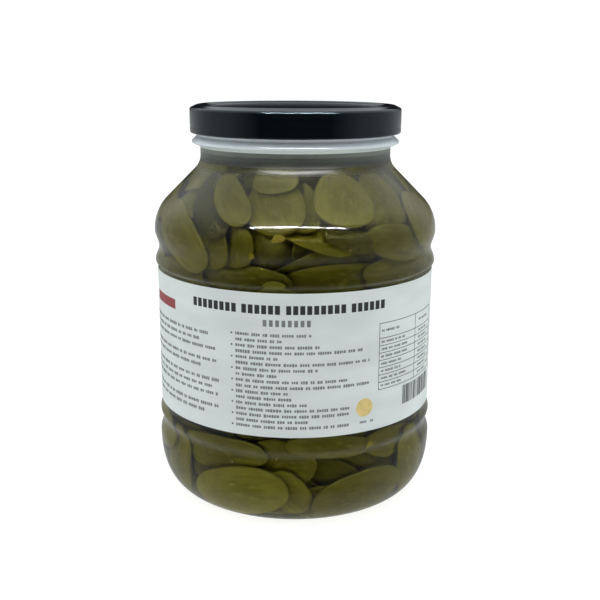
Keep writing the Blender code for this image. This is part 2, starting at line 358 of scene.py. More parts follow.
def add_piece(name, mesh, looks, slot_name, *replaced):
    """Links a mesh as a piece of the jar with its materials, and hides the parts it stands for. slot_name
    is not used.
    """
    piece = bpy.data.objects.new(name, mesh)
    scene.collection.objects.link(piece)
    for look in looks:
        mesh.materials.append(look)
    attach(piece, "root")
    if replaced:
        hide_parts(*replaced)


def turned_mesh(name, profile, segments=SMOOTH_SEGMENTS, sharp=None):
    """A mesh turned about Z from its outline, which runs down its outer side at +X."""
    mesh = bpy.data.meshes.new(name)
    edges = [(i, i + 1) for i in range(len(profile) - 1)]
    mesh.from_pydata([(r, 0.0, z) for r, z in profile], edges, [])
    blank = bpy.data.objects.new(name, mesh)
    scene.collection.objects.link(blank)
    screw = blank.modifiers.new("Turn", "SCREW")
    screw.angle = 2 * math.pi
    screw.steps = segments
    screw.render_steps = segments
    screw.use_merge_vertices = True
    screw.merge_threshold = MERGE
    screw.use_smooth_shade = True
    graph = bpy.context.evaluated_depsgraph_get()
    done = bpy.data.meshes.new_from_object(blank.evaluated_get(graph))
    bpy.data.objects.remove(blank)
    bpy.data.meshes.remove(mesh)
    done.name = name
    if sharp is not None:
        done.set_sharp_from_angle(angle=math.radians(sharp))
    return done


# %% [markdown]
# The jar's outline
#
# The blown body has a crest at the shoulder, a groove, a second bulge, a shallow recess for the
# label, a land, a lower groove, a lower bulge and a round heel. Above the 45 degree shoulder
# stands the neck with its ring, on which the jar hung in the mould. The same functions give the
# outer face, the inner face and the brine, each with its own inset, so the wall keeps its
# thickness all the way.

# %% The jar's sizes
BODY_R = 74.7 * MM
PANEL_R = 73.1 * MM
GROOVE_R = 72.7 * MM
LAND_R = 74.4 * MM
WALL = 1.1 * MM
SHOULDER_Z = 141.8 * MM
UPPER_GROOVE_Z = 132.7 * MM
SECOND_BULGE_Z = 125.6 * MM
PANEL_TOP_Z = 122.6 * MM
PANEL_BOTTOM_Z = 47.9 * MM
LAND_Z = 43.4 * MM
LOWER_GROOVE_Z = 37.2 * MM
LOWER_BULGE_Z = 30.0 * MM
SHOULDER_ARC = 22.6 * MM
SHOULDER_SLOPE = 45
NECK_R = 49.9 * MM
NECK_FILLET = 10.0 * MM
RING_BOTTOM_Z = 184.5 * MM
RING_TOP_Z = 190.0 * MM
RING_TIP_R = 54.3 * MM
RING_TIP_LOW_Z = 186.4 * MM
RING_TIP_HIGH_Z = 187.4 * MM
FINISH_R = 51.5 * MM
FINISH_WALL = 2.2 * MM
BEAD_R = 52.9 * MM
BEAD_Z = 198.5 * MM
BEAD_HALF = 1.6 * MM
RIM_Z = 204.7 * MM
HEEL_POWER = 2.3
FOOT_R = 57.0 * MM
FOOT_INNER_R = 50.0 * MM
BASE_WALL = 1.6 * MM
PUSH_UP = 8.0 * MM
GATE_R = 2.4 * MM
GATE_DROP = 0.5 * MM
GATE_NARROW = 0.85
FOG_Z = 182.1 * MM
RIM_ROUND = 0.6 * MM
OUTSIDE_STEPS = {"neck": 22, "bulge": 14, "heel": 32}
INSIDE_STEPS = {"neck": 18, "bulge": 12, "heel": 28}
BASE_STEPS = 16


def heel(crest_r, crest_z, foot_r, foot_z, count):
    """The round heel from the lower bulge's crest to the foot, as a superellipse."""
    power = 2 / HEEL_POWER
    points = []
    for step in range(count + 1):
        angle = math.pi / 2 * step / count
        across = max(math.cos(angle), 0) ** power
        down = math.sin(angle) ** power
        points.append((foot_r + (crest_r - foot_r) * across, crest_z - (crest_z - foot_z) * down))
    return points


def shoulder_and_neck(inset, neck_r, steps):
    """From the neck down its fillet, the 45 degree slope and the shoulder's arc."""
    slope = math.radians(SHOULDER_SLOPE)
    big = arc(BODY_R - SHOULDER_ARC, SHOULDER_Z, SHOULDER_ARC - inset, SHOULDER_SLOPE, 0, steps)
    fillet_r = NECK_FILLET + inset
    start_r, start_z = big[0]
    fillet_centre_r = neck_r + fillet_r
    end_r = fillet_centre_r - fillet_r * math.cos(slope)
    end_z = start_z + (start_r - end_r) * math.tan(slope)
    centre_z = end_z + fillet_r * math.sin(slope)
    small = arc(fillet_centre_r, centre_z, fillet_r, 180, 180 + SHOULDER_SLOPE, steps)
    return small + big


def bulges_and_panel(inset, steps):
    """From the shoulder's crest down to the lower bulge's crest."""
    stops = [
        (SHOULDER_Z, BODY_R),
        (UPPER_GROOVE_Z, GROOVE_R),
        (SECOND_BULGE_Z, BODY_R),
        (PANEL_TOP_Z, PANEL_R),
        (PANEL_BOTTOM_Z, PANEL_R),
        (LAND_Z, LAND_R),
        (LOWER_GROOVE_Z, GROOVE_R),
        (LOWER_BULGE_Z, BODY_R),
    ]
    points = []
    for (z_from, r_from), (z_to, r_to) in zip(stops, stops[1:]):
        count = 2 if r_from == r_to else steps
        points += eased_run(z_from, r_from - inset, z_to, r_to - inset, count)
    return points


def push_up(edge_r, rise, start, count):
    """The base's inward dome, from its edge to the axis."""
    points = []
    for step in range(count + 1):
        angle = start + (math.pi / 2 - start) * step / count
        points.append((edge_r * math.cos(angle), rise * math.sin(angle)))
    points[-1] = (0.0, rise)
    return points


def inner_wall(inset):
    """The wall from the base's middle up to the neck, at an inset from the outer face."""
    thick = BASE_WALL - (WALL - inset)
    rise = PUSH_UP + thick
    start = math.asin(thick / rise)
    steps = INSIDE_STEPS
    points = push_up(FOOT_INNER_R + thick, rise, start, BASE_STEPS)[::-1]
    points += heel(BODY_R - inset, LOWER_BULGE_Z, FOOT_R - inset, thick, steps["heel"])[::-1]
    points += bulges_and_panel(inset, steps["bulge"])[::-1][1:]
    points += shoulder_and_neck(inset, NECK_R - inset, steps["neck"])[::-1]
    return points


def jar_profile():
    """The jar's section: up its inside, over the rim and down its outside."""
    bore = FINISH_R - FINISH_WALL
    rim = rounded(
        [
            (NECK_R - WALL, FOG_Z),
            (NECK_R - WALL, RING_BOTTOM_Z),
            (bore, RING_TOP_Z),
            (bore, RIM_Z),
            (FINISH_R, RIM_Z),
            (FINISH_R, BEAD_Z + BEAD_HALF),
            (BEAD_R, BEAD_Z + BEAD_HALF / 2),
            (BEAD_R, BEAD_Z - BEAD_HALF / 2),
            (FINISH_R, BEAD_Z - BEAD_HALF),
            (FINISH_R, RING_TOP_Z),
            (RING_TIP_R, RING_TIP_HIGH_Z),
            (RING_TIP_R, RING_TIP_LOW_Z),
            (NECK_R, RING_BOTTOM_Z),
            (NECK_R, FOG_Z),
        ],
        RIM_ROUND,
    )
    steps = OUTSIDE_STEPS
    outside = shoulder_and_neck(0, NECK_R, steps["neck"])
    outside += bulges_and_panel(0, steps["bulge"])
    outside += heel(BODY_R, LOWER_BULGE_Z, FOOT_R, 0, steps["heel"])[1:]
    outside += push_up(FOOT_INNER_R, PUSH_UP, 0, BASE_STEPS)[:-1]
    gate_z = PUSH_UP - GATE_DROP
    outside += [(GATE_R, PUSH_UP), (GATE_R * GATE_NARROW, gate_z), (0.0, gate_z)]
    return inner_wall(WALL) + rim + outside


print("outline points of the jar:", len(jar_profile()))

# %% [markdown]
# Uneven surfaces
#
# A blown wall is never quite even, and neither are lacquer and paper. One node group serves them
# all: it adds a fine noise to a broad one, and a bump node makes a normal of the sum. Tones and
# roughnesses drift over a surface in the same way, by a soft noise.

# %% Uneven surfaces
PATCH_FROM = 0.3
PATCH_TO = 0.7


def own_place(tree):
    """A point's place on its object."""
    return node(tree, "ShaderNodeTexCoord").outputs["Object"]


def noise(tree, where, scale, detail):
    """A smooth noise at a place."""
    inputs = {"Vector": where, "Scale": scale, "Detail": detail}
    return node(tree, "ShaderNodeTexNoise", inputs).outputs[0]


def ripple_group():
    """Soft unevenness of a blown or poured surface: a height from broad and fine noise."""
    group = bpy.data.node_groups.new("ripple", "ShaderNodeTree")
    face = group.interface
    for name in ("Broad scale", "Fine scale", "Fine share"):
        face.new_socket(name, in_out="INPUT", socket_type="NodeSocketFloat")
    face.new_socket("Height", in_out="OUTPUT", socket_type="NodeSocketFloat")
    broad_scale, fine_scale, fine_share = node(group, "NodeGroupInput").outputs[:3]
    where = own_place(group)
    broad = noise(group, where, broad_scale, 1.0)
    fine = maths(group, "MULTIPLY", noise(group, where, fine_scale, 2.0), fine_share)
    node(group, "NodeGroupOutput", {0: maths(group, "ADD", broad, fine)})
    return group


ripple = ripple_group()


def ripple_height(tree, broad, fine, share):
    """The ripple group's height, with the scales of its two noises and the fine one's share."""
    return node(tree, "ShaderNodeGroup", {0: broad, 1: fine, 2: share}, node_tree=ripple).outputs[0]


def bumped(tree, height, strength, distance):
    """A normal that follows a height."""
    wave = {"Height": height, "Strength": strength, "Distance": distance}
    return node(tree, "ShaderNodeBump", wave).outputs[0]


def soft_patches(tree, scale, low=0.0, high=1.0):
    """A number that drifts between two values over the surface."""
    drift = noise(tree, own_place(tree), scale, 3.0)
    return spread(tree, drift, PATCH_FROM, PATCH_TO, low, high)


def drifting(tree, scale, dark, light):
    """A colour that drifts between two tones over the surface."""
    return mixed(tree, soft_patches(tree, scale), dark, light)


def drifting_look(name, scale, dark, light, inputs):
    """A material in two drifting tones, with the shader's other inputs."""
    look, tree, shader = new_look(name)
    feed(shader, {"Base Color": drifting(tree, scale, dark, light), **inputs})
    return look


print("inputs of the ripple group:", len(ripple.interface.items_tree) - 1)

# %% [markdown]
# Clear plastic
#
# The plastic bends light by its index of refraction, 1.57. Glass shaders make lamps throw
# speckled patterns through a jar, which takes very long to render clean. So rays on their way to
# a lamp, and rays bouncing off the slices, pass straight through: a Light Path node swaps in a
# plain see-through shader for them. The wall where the brine wets it mirrors almost nothing, so
# the inner face gets a material of its own with its mirror turned down. A low broad bump makes
# the highlights waver, and a fine line in it is the seam of the two mould halves. Towards the
# neck the wall was stretched least and stays a little rough, so the roughness rises with the
# height there.

# %% Clear plastic
PLASTIC_INDEX = 1.57
SEAM_TURN = math.radians(8)
SEAM_HALF = 0.25 * MM
SEAM_RISE = 3.0
DULL_FROM_Z = 170.0 * MM
DULL_TO_Z = 174.5 * MM
DULL = 0.30


def seam_height(tree, height):
    """Raises a fine line where the two halves of the mould met, on both sides of the jar."""
    x, y, _ = node(tree, "ShaderNodeSeparateXYZ", {0: own_place(tree)}).outputs
    along_x = maths(tree, "MULTIPLY", x, math.sin(SEAM_TURN))
    along_y = maths(tree, "MULTIPLY", y, math.cos(SEAM_TURN))
    off = maths(tree, "ADD", along_x, along_y)
    line_mask = band(tree, off, -SEAM_HALF, SEAM_HALF, SEAM_HALF / 2)
    return maths(tree, "MULTIPLY_ADD", line_mask, SEAM_RISE, height)


def dulled(tree, roughness):
    """The roughness of the wall, which grows into the neck, where the plastic was stretched least."""
    z = node(tree, "ShaderNodeSeparateXYZ", {0: own_place(tree)}).outputs[2]
    return spread(tree, z, DULL_FROM_Z, DULL_TO_Z, roughness, DULL)


def see_through(name, index, tint, mirror, roughness, wave, moulded=False):
    """A clear material. mirror scales its reflection, and wave is the bump's height."""
    look, tree, shader = new_look(name)
    height = ripple_height(tree, 45.0, 260.0, 0.15)
    if moulded:
        height = seam_height(tree, height)
    feed(shader, {
        "Base Color": tint,
        "Roughness": roughness,
        "IOR": index,
        "Transmission Weight": 1.0,
        "Specular Tint": (mirror, mirror, mirror),
        "Normal": bumped(tree, height, 0.5, wave),
    })
    if moulded:
        feed(shader, {"Roughness": dulled(tree, roughness)})
    path = node(tree, "ShaderNodeLightPath").outputs
    passing = maths(tree, "MAXIMUM", path["Is Shadow Ray"], path["Is Diffuse Ray"])
    swap_shader(tree, passing, shader, node(tree, "ShaderNodeBsdfTransparent", {0: tint}))
    return look


plastic = see_through(
    "clear plastic",
    PLASTIC_INDEX,
    tint=(0.985, 0.99, 0.99),
    mirror=0.29,
    roughness=0.055,
    wave=0.04 * MM,
    moulded=True,
)
wetted = see_through("wetted plastic", PLASTIC_INDEX, tint=WHITE, mirror=0.05, roughness=0.02, wave=0.0)
print("index of the plastic:", PLASTIC_INDEX)

# %% [markdown]
# The jar is one turned mesh with several materials. A face belongs to the wetted wall when it lies
# below the brine's level and on the inner side, that is when its normal points to the axis.
# From the ring upwards the neck is given a pale, nearly opaque colour. This is painted light: it
# stands in for the bright light that the thick ring throws back. The short stretch between brine
# and ring is fogged by a film of drops on its inner face, and below it, under the brine's level,
# the wall turns greyer in bands, each a little clearer than the one above.

# %% The jar
# The neck's pale colour from the ring up is painted light, for the bright light the ring throws back.
MILKY_Z = RING_BOTTOM_Z - 0.2 * MM
MILKY_TONES = ((0.83, 0.92, 0.98), (0.88, 0.96, 1.0))
FOG_DARK = (0.85, 0.97, 0.85)
FOG_LIGHT = (1.15, 1.28, 1.15)
FOG_BANDS = [
    (177.2 * MM, 0.07, 0.85),
    (178.0 * MM, 0.09, 0.75),
    (178.9 * MM, 0.12, 0.62),
    (180.3 * MM, 0.16, 0.50),
    (FOG_Z, 0.26, 0.35),
]


def cloudy_look(name, scale, dark, light, roughness, clear):
    """Plastic that lets only a share of the light through."""
    inputs = {"Roughness": roughness, "IOR": PLASTIC_INDEX, "Transmission Weight": clear}
    return drifting_look(name, scale, dark, light, inputs)


def split_faces(mesh, index, test):
    """Gives the faces that pass the test another of the mesh's materials."""
    for face in mesh.polygons:
        if test(face.center, face.normal):
            face.material_index = index


def is_wetted(centre, normal):
    """True on the inner wall below the brine's level."""
    outward = normal.x * centre.x + normal.y * centre.y
    radius = math.hypot(centre.x, centre.y)
    inner_floor = radius < FOOT_R and normal.z > 0.2 and centre.z < LOWER_BULGE_Z
    return centre.z < FOG_Z and (outward < 0 or inner_floor)


jar_mesh = turned_mesh("clear_jar", jar_profile(), sharp=50)
jar_looks = [plastic, wetted, cloudy_look("neck plastic with painted glare", 50.0, *MILKY_TONES, 0.22, 0.04)]
first_fog = len(jar_looks)
for low, grey, clear in FOG_BANDS:
    dark, light = (tuple(grey * share for share in tone) for tone in (FOG_DARK, FOG_LIGHT))
    name = f"hazy plastic from {low / MM:.0f} mm"
    jar_looks.append(cloudy_look(name, 90.0, dark, light, 0.35, clear))
add_piece("clear_jar", jar_mesh, jar_looks, "clear_plastic", "jar")
for index, (low, _, _) in enumerate(FOG_BANDS):
    split_faces(jar_mesh, first_fog + index, lambda centre, normal: centre.z > low)
split_faces(jar_mesh, jar_looks.index(wetted), is_wetted)
split_faces(jar_mesh, first_fog - 1, lambda centre, normal: centre.z > MILKY_Z)
print("faces of the jar:", len(jar_mesh.polygons))

# %% [markdown]
# Brine
#
# The brine fills the jar to just under the ring. Its outer face reaches a little into the wall,
# so that no film of air shows between the two. Its colour comes not from its surface but from
# the way the liquid swallows light: a Volume Absorption shader. Deep gaps between the slices so
# turn dark olive, while slices at the wall keep their own colour.

# %% Brine
BRINE_INDEX = 1.34
LEVEL_Z = 182.5 * MM
WALL_REACH = 0.15 * MM
SURFACE_EDGE = 2.0 * MM
BRINE_COLOUR = (0.86, 0.870, 0.28)
BRINE_DENSITY = 130.0


def brine_profile():
    """The brine's section, from its surface's middle down its outer side and along the base."""
    wall = [p for p in inner_wall(WALL - WALL_REACH) if p[1] < LEVEL_Z - MM]
    edge_r = NECK_R - WALL + WALL_REACH
    surface = [(0.0, LEVEL_Z), (edge_r - SURFACE_EDGE, LEVEL_Z), (edge_r, LEVEL_Z)]
    return surface + wall[::-1]


def is_surface(centre, normal):
    """True on the brine's open surface."""
    return normal.z > 0.5 and centre.z > LEVEL_Z - 0.1 * MM


def brine_look(name, mirror, wave):
    """A clear liquid that swallows light on its way."""
    look = see_through(name, BRINE_INDEX, WHITE, mirror, 0.0, wave)
    swallow = {"Color": BRINE_COLOUR, "Density": BRINE_DENSITY}
    inside = node(look.node_tree, "ShaderNodeVolumeAbsorption", swallow)
    feed(look.node_tree.nodes["Material Output"], {"Volume": inside.outputs[0]})
    return look


brine_looks = [brine_look("brine at the wall", 0.05, 0.0), brine_look("brine surface", 1.0, 0.03 * MM)]
brine_mesh = turned_mesh("brine", brine_profile(), sharp=50)
add_piece("brine", brine_mesh, brine_looks, "clear_plastic")
split_faces(brine_mesh, 1, is_surface)
print("brine level, mm:", round(LEVEL_Z / MM, 1))

# %% [markdown]
# The lid
#
# The lid is stamped from black lacquered tinplate: a rolled curl at its foot, a straight skirt,
# a rounded corner, then a low slope up to a raised ring and the recessed panel. It is one
# turned outline again, with both faces of the metal, so that it is hollow as the real one is.

# %% The lid's shape
LID_R = 55.1 * MM
LID_METAL = 0.5 * MM
LID_CORNER = 1.6 * MM
LID_CORNER_Z = 204.6 * MM
LID_RING_R = 51.4 * MM
LID_TOP_Z = 205.7 * MM
LID_PANEL_EDGE_R = 49.4 * MM
LID_PANEL_R = 48.0 * MM
LID_PANEL_Z = 204.5 * MM
LID_CURL = 1.15 * MM
LID_CURL_Z = 192.4 * MM
LID_WAIST = 0.10 * MM
LID_WAIST_Z = LID_CURL_Z + 2.2 * LID_CURL
LID_TOP_ROUND = 0.7 * MM
LID_SKIRT_ROUND = 0.8 * MM


def lid_profile():
    """The lid's section: out over its top, down the skirt, round the curl and back inside."""
    shoulder = arc(LID_R - LID_CORNER, LID_CORNER_Z - LID_CORNER, LID_CORNER, 80, 0, 10)
    panel = [
        (0.0, LID_PANEL_Z),
        (LID_PANEL_R - 2 * MM, LID_PANEL_Z),
        (LID_PANEL_R, LID_PANEL_Z),
        (LID_PANEL_EDGE_R, LID_TOP_Z),
        (LID_RING_R, LID_TOP_Z),
        shoulder[0],
    ]
    skirt = [
        (LID_R, LID_WAIST_Z + 1.5 * MM),
        (LID_R - LID_WAIST, LID_WAIST_Z),
        (LID_R, LID_CURL_Z + 0.6 * LID_CURL),
    ]
    curl = arc(LID_R - LID_CURL, LID_CURL_Z, LID_CURL, 0, -180, 16)
    inside_r = LID_R - LID_METAL
    under = [
        (LID_R - 2 * LID_CURL, LID_CURL_Z + LID_METAL),
        (inside_r - LID_WAIST, LID_CURL_Z + LID_CURL + LID_METAL),
        (inside_r, LID_WAIST_Z + 2 * MM),
        (inside_r, LID_CORNER_Z - LID_CORNER),
        (inside_r - LID_CORNER, LID_CORNER_Z - LID_METAL),
        (LID_RING_R, LID_TOP_Z - LID_METAL),
        (LID_PANEL_EDGE_R + LID_METAL / 2, LID_TOP_Z - LID_METAL),
        (LID_PANEL_R + LID_METAL / 2, LID_PANEL_Z - LID_METAL),
        (0.0, LID_PANEL_Z - LID_METAL),
    ]
    top = rounded(panel, LID_TOP_ROUND, 5) + shoulder[1:]
    return top + rounded(skirt, LID_SKIRT_ROUND) + curl + under


lid_mesh = turned_mesh("black_lid", lid_profile(), sharp=60)
print("faces of the lid:", len(lid_mesh.polygons))

# %% [markdown]
# The lacquer is black with a hint of blue, smooth and glossy. Stove lacquer on thin metal has a
# faint orange peel, and handling leaves it a little duller in places, so a noise varies the
# roughness and the ripple group gives the peel.


# %% Black lacquer
def lacquer_look():
    """Black stove lacquer on tinplate."""
    look, tree, shader = new_look("black lacquer")
    feed(shader, {
        "Base Color": drifting(tree, 60.0, (0.0020, 0.0044, 0.0068), (0.0028, 0.0056, 0.0084)),
        "Roughness": soft_patches(tree, 25.0, 0.09, 0.15),
        "IOR": 1.45,
        "Specular Tint": (0.74, 0.92, 1.0),
        "Normal": bumped(tree, ripple_height(tree, 500.0, 1500.0, 0.3), 0.3, 0.02 * MM),
    })
    return look


add_piece("black_lid", lid_mesh, [lacquer_look()], "black_lacquer", "lid")
print("lid top, mm:", round(LID_TOP_Z / MM, 1))

# %% [markdown]
# The slices' places
#
# A packed jar looks natural only when every slice has its own place. The slices at the front are
# placed after the photograph, each by its turn round the axis, its distance along the
# filling's outline, its half length and half width, its tilt from upright, its depth and its
# tone. The tone is partly the slice's own colour and partly painted shade: the deeper tones
# darken slices that lie further back, for the shade that falls on them in the packed jar. The
# rest of the jar is filled by rows with seeded random draws, and the inner rows get the darkest
# tones. A few end pieces turn their skin to the wall. Lengths here are in millimetres and
# angles in degrees, as they are easier to read.

# %% Places of the slices
FILL_R = 71.2 * MM
FILL_NECK_R = 48.2 * MM
FILL_FOOT_R = 53.5 * MM
FILL_FOOT_Z = 2.3 * MM
FILL_TOP_Z = 176.0 * MM
SEED = 12
# Tone levels. The lower ones are painted shade: they darken slices that lie deeper in the heap.
PALE = 0.9
MIDDLE = 0.55
DEEP = 0.24
DIM = 0.0
DARK = -0.35
OUT_OF_LINE = 5
ROW_HALF_LENGTH = (19, 31)
ROW_HALF_WIDTH = (11, 15)
UPRIGHT = (-40, 40)
LYING = (50, 130)
front_slices = [
    (23, 174, 16, 15, 16, 0.4, PALE),
    (-11, 187, 9, 11, -10, 0.4, MIDDLE),
    (-32, 174, 18, 8, -42, 0.4, MIDDLE),
    (-54, 151, 25, 12, -57, 0.4, MIDDLE),
    (66, 159, 15, 14, 19, 0.6, MIDDLE),
    (-9, 173, 17, 14, -22, 1.4, MIDDLE),
    (45, 170, 20, 14, 24, 2.4, MIDDLE),
    (4, 171, 14, 8, 0, 2.4, DEEP),
    (-60, 170, 15, 8, -72, 2.6, MIDDLE),
    (-41, 158, 14, 9, -52, 3.2, DEEP),
    (9, 155, 20, 7, -71, 2.4, MIDDLE),
    (46, 149, 22, 9, -77, 1.4, DEEP),
    (-35, 148, 12, 10, -18, 1.8, DEEP),
    (-24, 150, 11, 9, -4, 3.4, DEEP),
    (-52, 130, 20, 8, -80, 1.2, DEEP),
    (-20, 133, 24, 8, -84, 3.4, DEEP),
    (16, 134, 25, 8, -94, 4.2, DEEP),
    (49, 134, 26, 9, -87, 2.4, DEEP),
    (-25, 22, 27, 15, 76, 0.4, PALE),
    (29, 21, 26, 14, 80, 0.4, DEEP),
    (-2, 24, 14, 10, -37, 1.0, MIDDLE),
    (15, 50, 22, 6, -85, 0.8, DEEP),
    (-33, 43, 27, 9, 88, 1.2, DEEP),
    (-58, 30, 20, 12, 10, 0.8, MIDDLE),
    (58, 31, 20, 12, -12, 0.8, MIDDLE),
    (46, 45, 20, 9, -80, 1.8, DEEP),
    (-4, 42, 16, 11, -70, 2.6, DEEP),
]
skin_slices = [
    (-42, 169, 22, 9, -38, 1.0, DIM),
    (22, 153, 13, 6, -71, 0.6, MIDDLE),
    (78, 40, 22, 10, -30, 0.8, MIDDLE),
    (-84, 160, 20, 10, 24, 0.6, DEEP),
    (128, 158, 24, 11, -60, 0.4, MIDDLE),
    (-150, 26, 22, 11, 70, 0.6, MIDDLE),
    (168, 140, 20, 9, 84, 0.8, DEEP),
]
outer_rows = [
    (7, 20, 88, 284),
    (9, 45, 76, 288),
    (3, 82, 0, 360),
    (3, 112, 60, 420),
    (8, 140, 74, 290),
    (8, 165, 84, 284),
    (3, 186, 40, 330),
]
inner_rows = [
    (11, 14, 8, 368),
    (11, 30, -12, 348),
    (11, 46, 4, 364),
    (10, 130, -8, 352),
    (10, 146, 10, 370),
    (9, 162, -4, 356),
    (8, 178, 12, 372),
    (6, 192, 0, 360),
]


def row_slices(rng, rows, depths, tone_range, grow=1.0):
    """Slices in rows round the jar, each a little out of line."""
    places = []
    for count, along, start, end in rows:
        for index in range(count):
            middle = start + (end - start) * (index + 0.5) / count
            turn = middle + rng.uniform(-OUT_OF_LINE, OUT_OF_LINE)
            half_length = rng.uniform(*ROW_HALF_LENGTH) * grow
            half_width = rng.uniform(*ROW_HALF_WIDTH) * grow
            tilt = rng.choice([rng.uniform(*UPRIGHT), rng.uniform(*LYING)])
            depth = rng.choice(depths)
            shift = rng.uniform(-OUT_OF_LINE, OUT_OF_LINE)
            tone = tones.uniform(*tone_range)
            places.append((turn, along + shift, half_length, half_width, tilt, depth, tone))
    return places


rng = random.Random(SEED)
tones = random.Random(SEED + 1)
outer = front_slices + skin_slices + row_slices(rng, outer_rows, [0.4, 1.4, 3.0, 4.2], (DEEP, PALE))
# The inner rows lie deepest and get the darkest tones, as painted shade.
inner = row_slices(rng, inner_rows, [1.0, 2.0, 3.0], (DARK, DEEP), 1.3)
slices = sorted(outer, key=lambda place: place[5]) + inner
print("slices:", len(slices))

# %% [markdown]
# Packing the slices
#
# Soft slices in a full jar lie against the wall and drape over each other. A rigid body
# simulation could pile them up, but it would not bend them and would lose their places. Instead
# each slice is laid in turn: a map of the wall remembers how deep the slices laid so far reach,
# and the next one follows that map from behind. Widening the map by a few millimetres and then
# averaging it over as many keeps the new slice behind the old ones and its bends soft.
# The map is an array with a row for each millimetre along the outline and a column for each
# degree.

# %% The packing map
SLICE_THICK = (2.1, 2.7)
LAY_GAP = 0.1
DRAPE_REACH = 2
MAP_MARGIN = 14.0
LAID_EDGE = 1.1
TURN_STEP = 1.0


def fill_line():
    """The line that the slices press against, from the foot up into the neck."""
    points = heel(FILL_R, LOWER_BULGE_Z, FILL_FOOT_R, FILL_FOOT_Z, 24)[::-1]
    upper = shoulder_and_neck(BODY_R - FILL_R, FILL_NECK_R, 16)[::-1]
    return points + [p for p in upper if p[1] < FILL_TOP_Z] + [(FILL_NECK_R, FILL_TOP_Z)]


line = np.array(fill_line()) / MM
line_along = np.concatenate([[0.0], np.cumsum(np.hypot(*np.diff(line, axis=0).T))])
slope_r, slope_z = np.gradient(line, line_along, axis=0).T


def on_line(along, depth):
    """Radius and height in mm at distances along the outline and depths inside it."""
    r = np.interp(along, line_along, line[:, 0])
    z = np.interp(along, line_along, line[:, 1])
    out_r = np.interp(along, line_along, slope_z)
    out_z = -np.interp(along, line_along, slope_r)
    size = np.hypot(out_r, out_z)
    return r - out_r / size * depth, z - out_z / size * depth


map_along = np.arange(-MAP_MARGIN, line_along[-1] + MAP_MARGIN, 1.0)
map_turn = np.arange(-180.0, 180.0, TURN_STEP)
taken = np.zeros((len(map_along), len(map_turn)))


def leaned(length, cross, tilt):
    """Distances up and aside of a place in a slice that leans by the tilt."""
    lean = math.radians(tilt)
    up = length * math.cos(lean) - cross * math.sin(lean)
    aside = length * math.sin(lean) + cross * math.cos(lean)
    return up, aside


def in_window(field, reach, pick):
    """Slides a square window over the map and picks one value from it, such as the highest."""
    for axis in (0, 1):
        field = pick([np.roll(field, step, axis=axis) for step in range(-reach, reach + 1)], axis=0)
    return field


def lay(place, thick):
    """Drapes a slice behind those laid before it, and gives its depth as a map."""
    turn, along, half_length, half_width, tilt, depth = place[:6]
    centre_r = on_line(along, depth)[0]
    aside = np.radians((map_turn - turn + 180.0) % 360.0 - 180.0) * centre_r
    lengthwise, crosswise = leaned((map_along - along)[:, None], aside, -tilt)
    under = (lengthwise / half_length) ** 2 + (crosswise / half_width) ** 2 < LAID_EDGE
    widened = in_window(taken + LAY_GAP * (taken > 0), DRAPE_REACH, np.max)
    draped = np.maximum(in_window(widened, DRAPE_REACH, np.mean), depth)
    taken[under] = np.maximum(taken[under], draped[under] + thick)
    return draped


def read_map(field, along, turn):
    """The map's value at places between its points."""
    row = np.clip(along + MAP_MARGIN, 0, len(map_along) - 1.001)
    column = (turn + 180.0) % 360.0 / TURN_STEP
    low = row.astype(int)
    left = column.astype(int)
    right = (left + 1) % len(map_turn)
    left = left % len(map_turn)
    t = row - low
    u = column - np.floor(column)
    near = field[low, left] * (1 - u) + field[low, right] * u
    far = field[low + 1, left] * (1 - u) + field[low + 1, right] * u
    return near * (1 - t) + far * t


print("packing map:", len(map_along), "by", len(map_turn))

# %% [markdown]
# One slice
#
# A gherkin cut lengthwise gives a long oval plate, here a little over two millimetres thick. Its
# cut faces are slightly uneven and its rim is skin. The mesh is a set of rings, like a dartboard:
# over the front face, round the rim and over the back. Each point remembers where it lies in the
# slice, in millimetres and as a share of the way out, which the material needs to draw the
# skin, the flesh and the seeds.

# %% One slice
SIDES = 40
RINGS = [
    (0.25, 0.0),
    (0.5, 0.0),
    (0.72, 0.0),
    (0.90, 0.01),
    (0.97, 0.04),
    (0.99, 0.14),
    (1.0, 0.40),
    (0.985, 0.75),
    (0.94, 0.94),
    (0.8, 1.0),
    (0.4, 1.0),
]
BACK_FROM = 0.3
OVAL_POWER = 2.25
SWELL = 0.030
LOBES = 0.018
RELIEF = 0.18
LEAST_DEPTH = 0.2
SKIN_MARK = 2.0
TOP_STAND = 4.5
SLICE_POINTS = 2 + len(RINGS) * SIDES


def with_middles(front, rings, back):
    """A value for each point: the front's middle, the rings and the back's middle."""
    return np.concatenate([[front], np.ravel(rings), [back]])


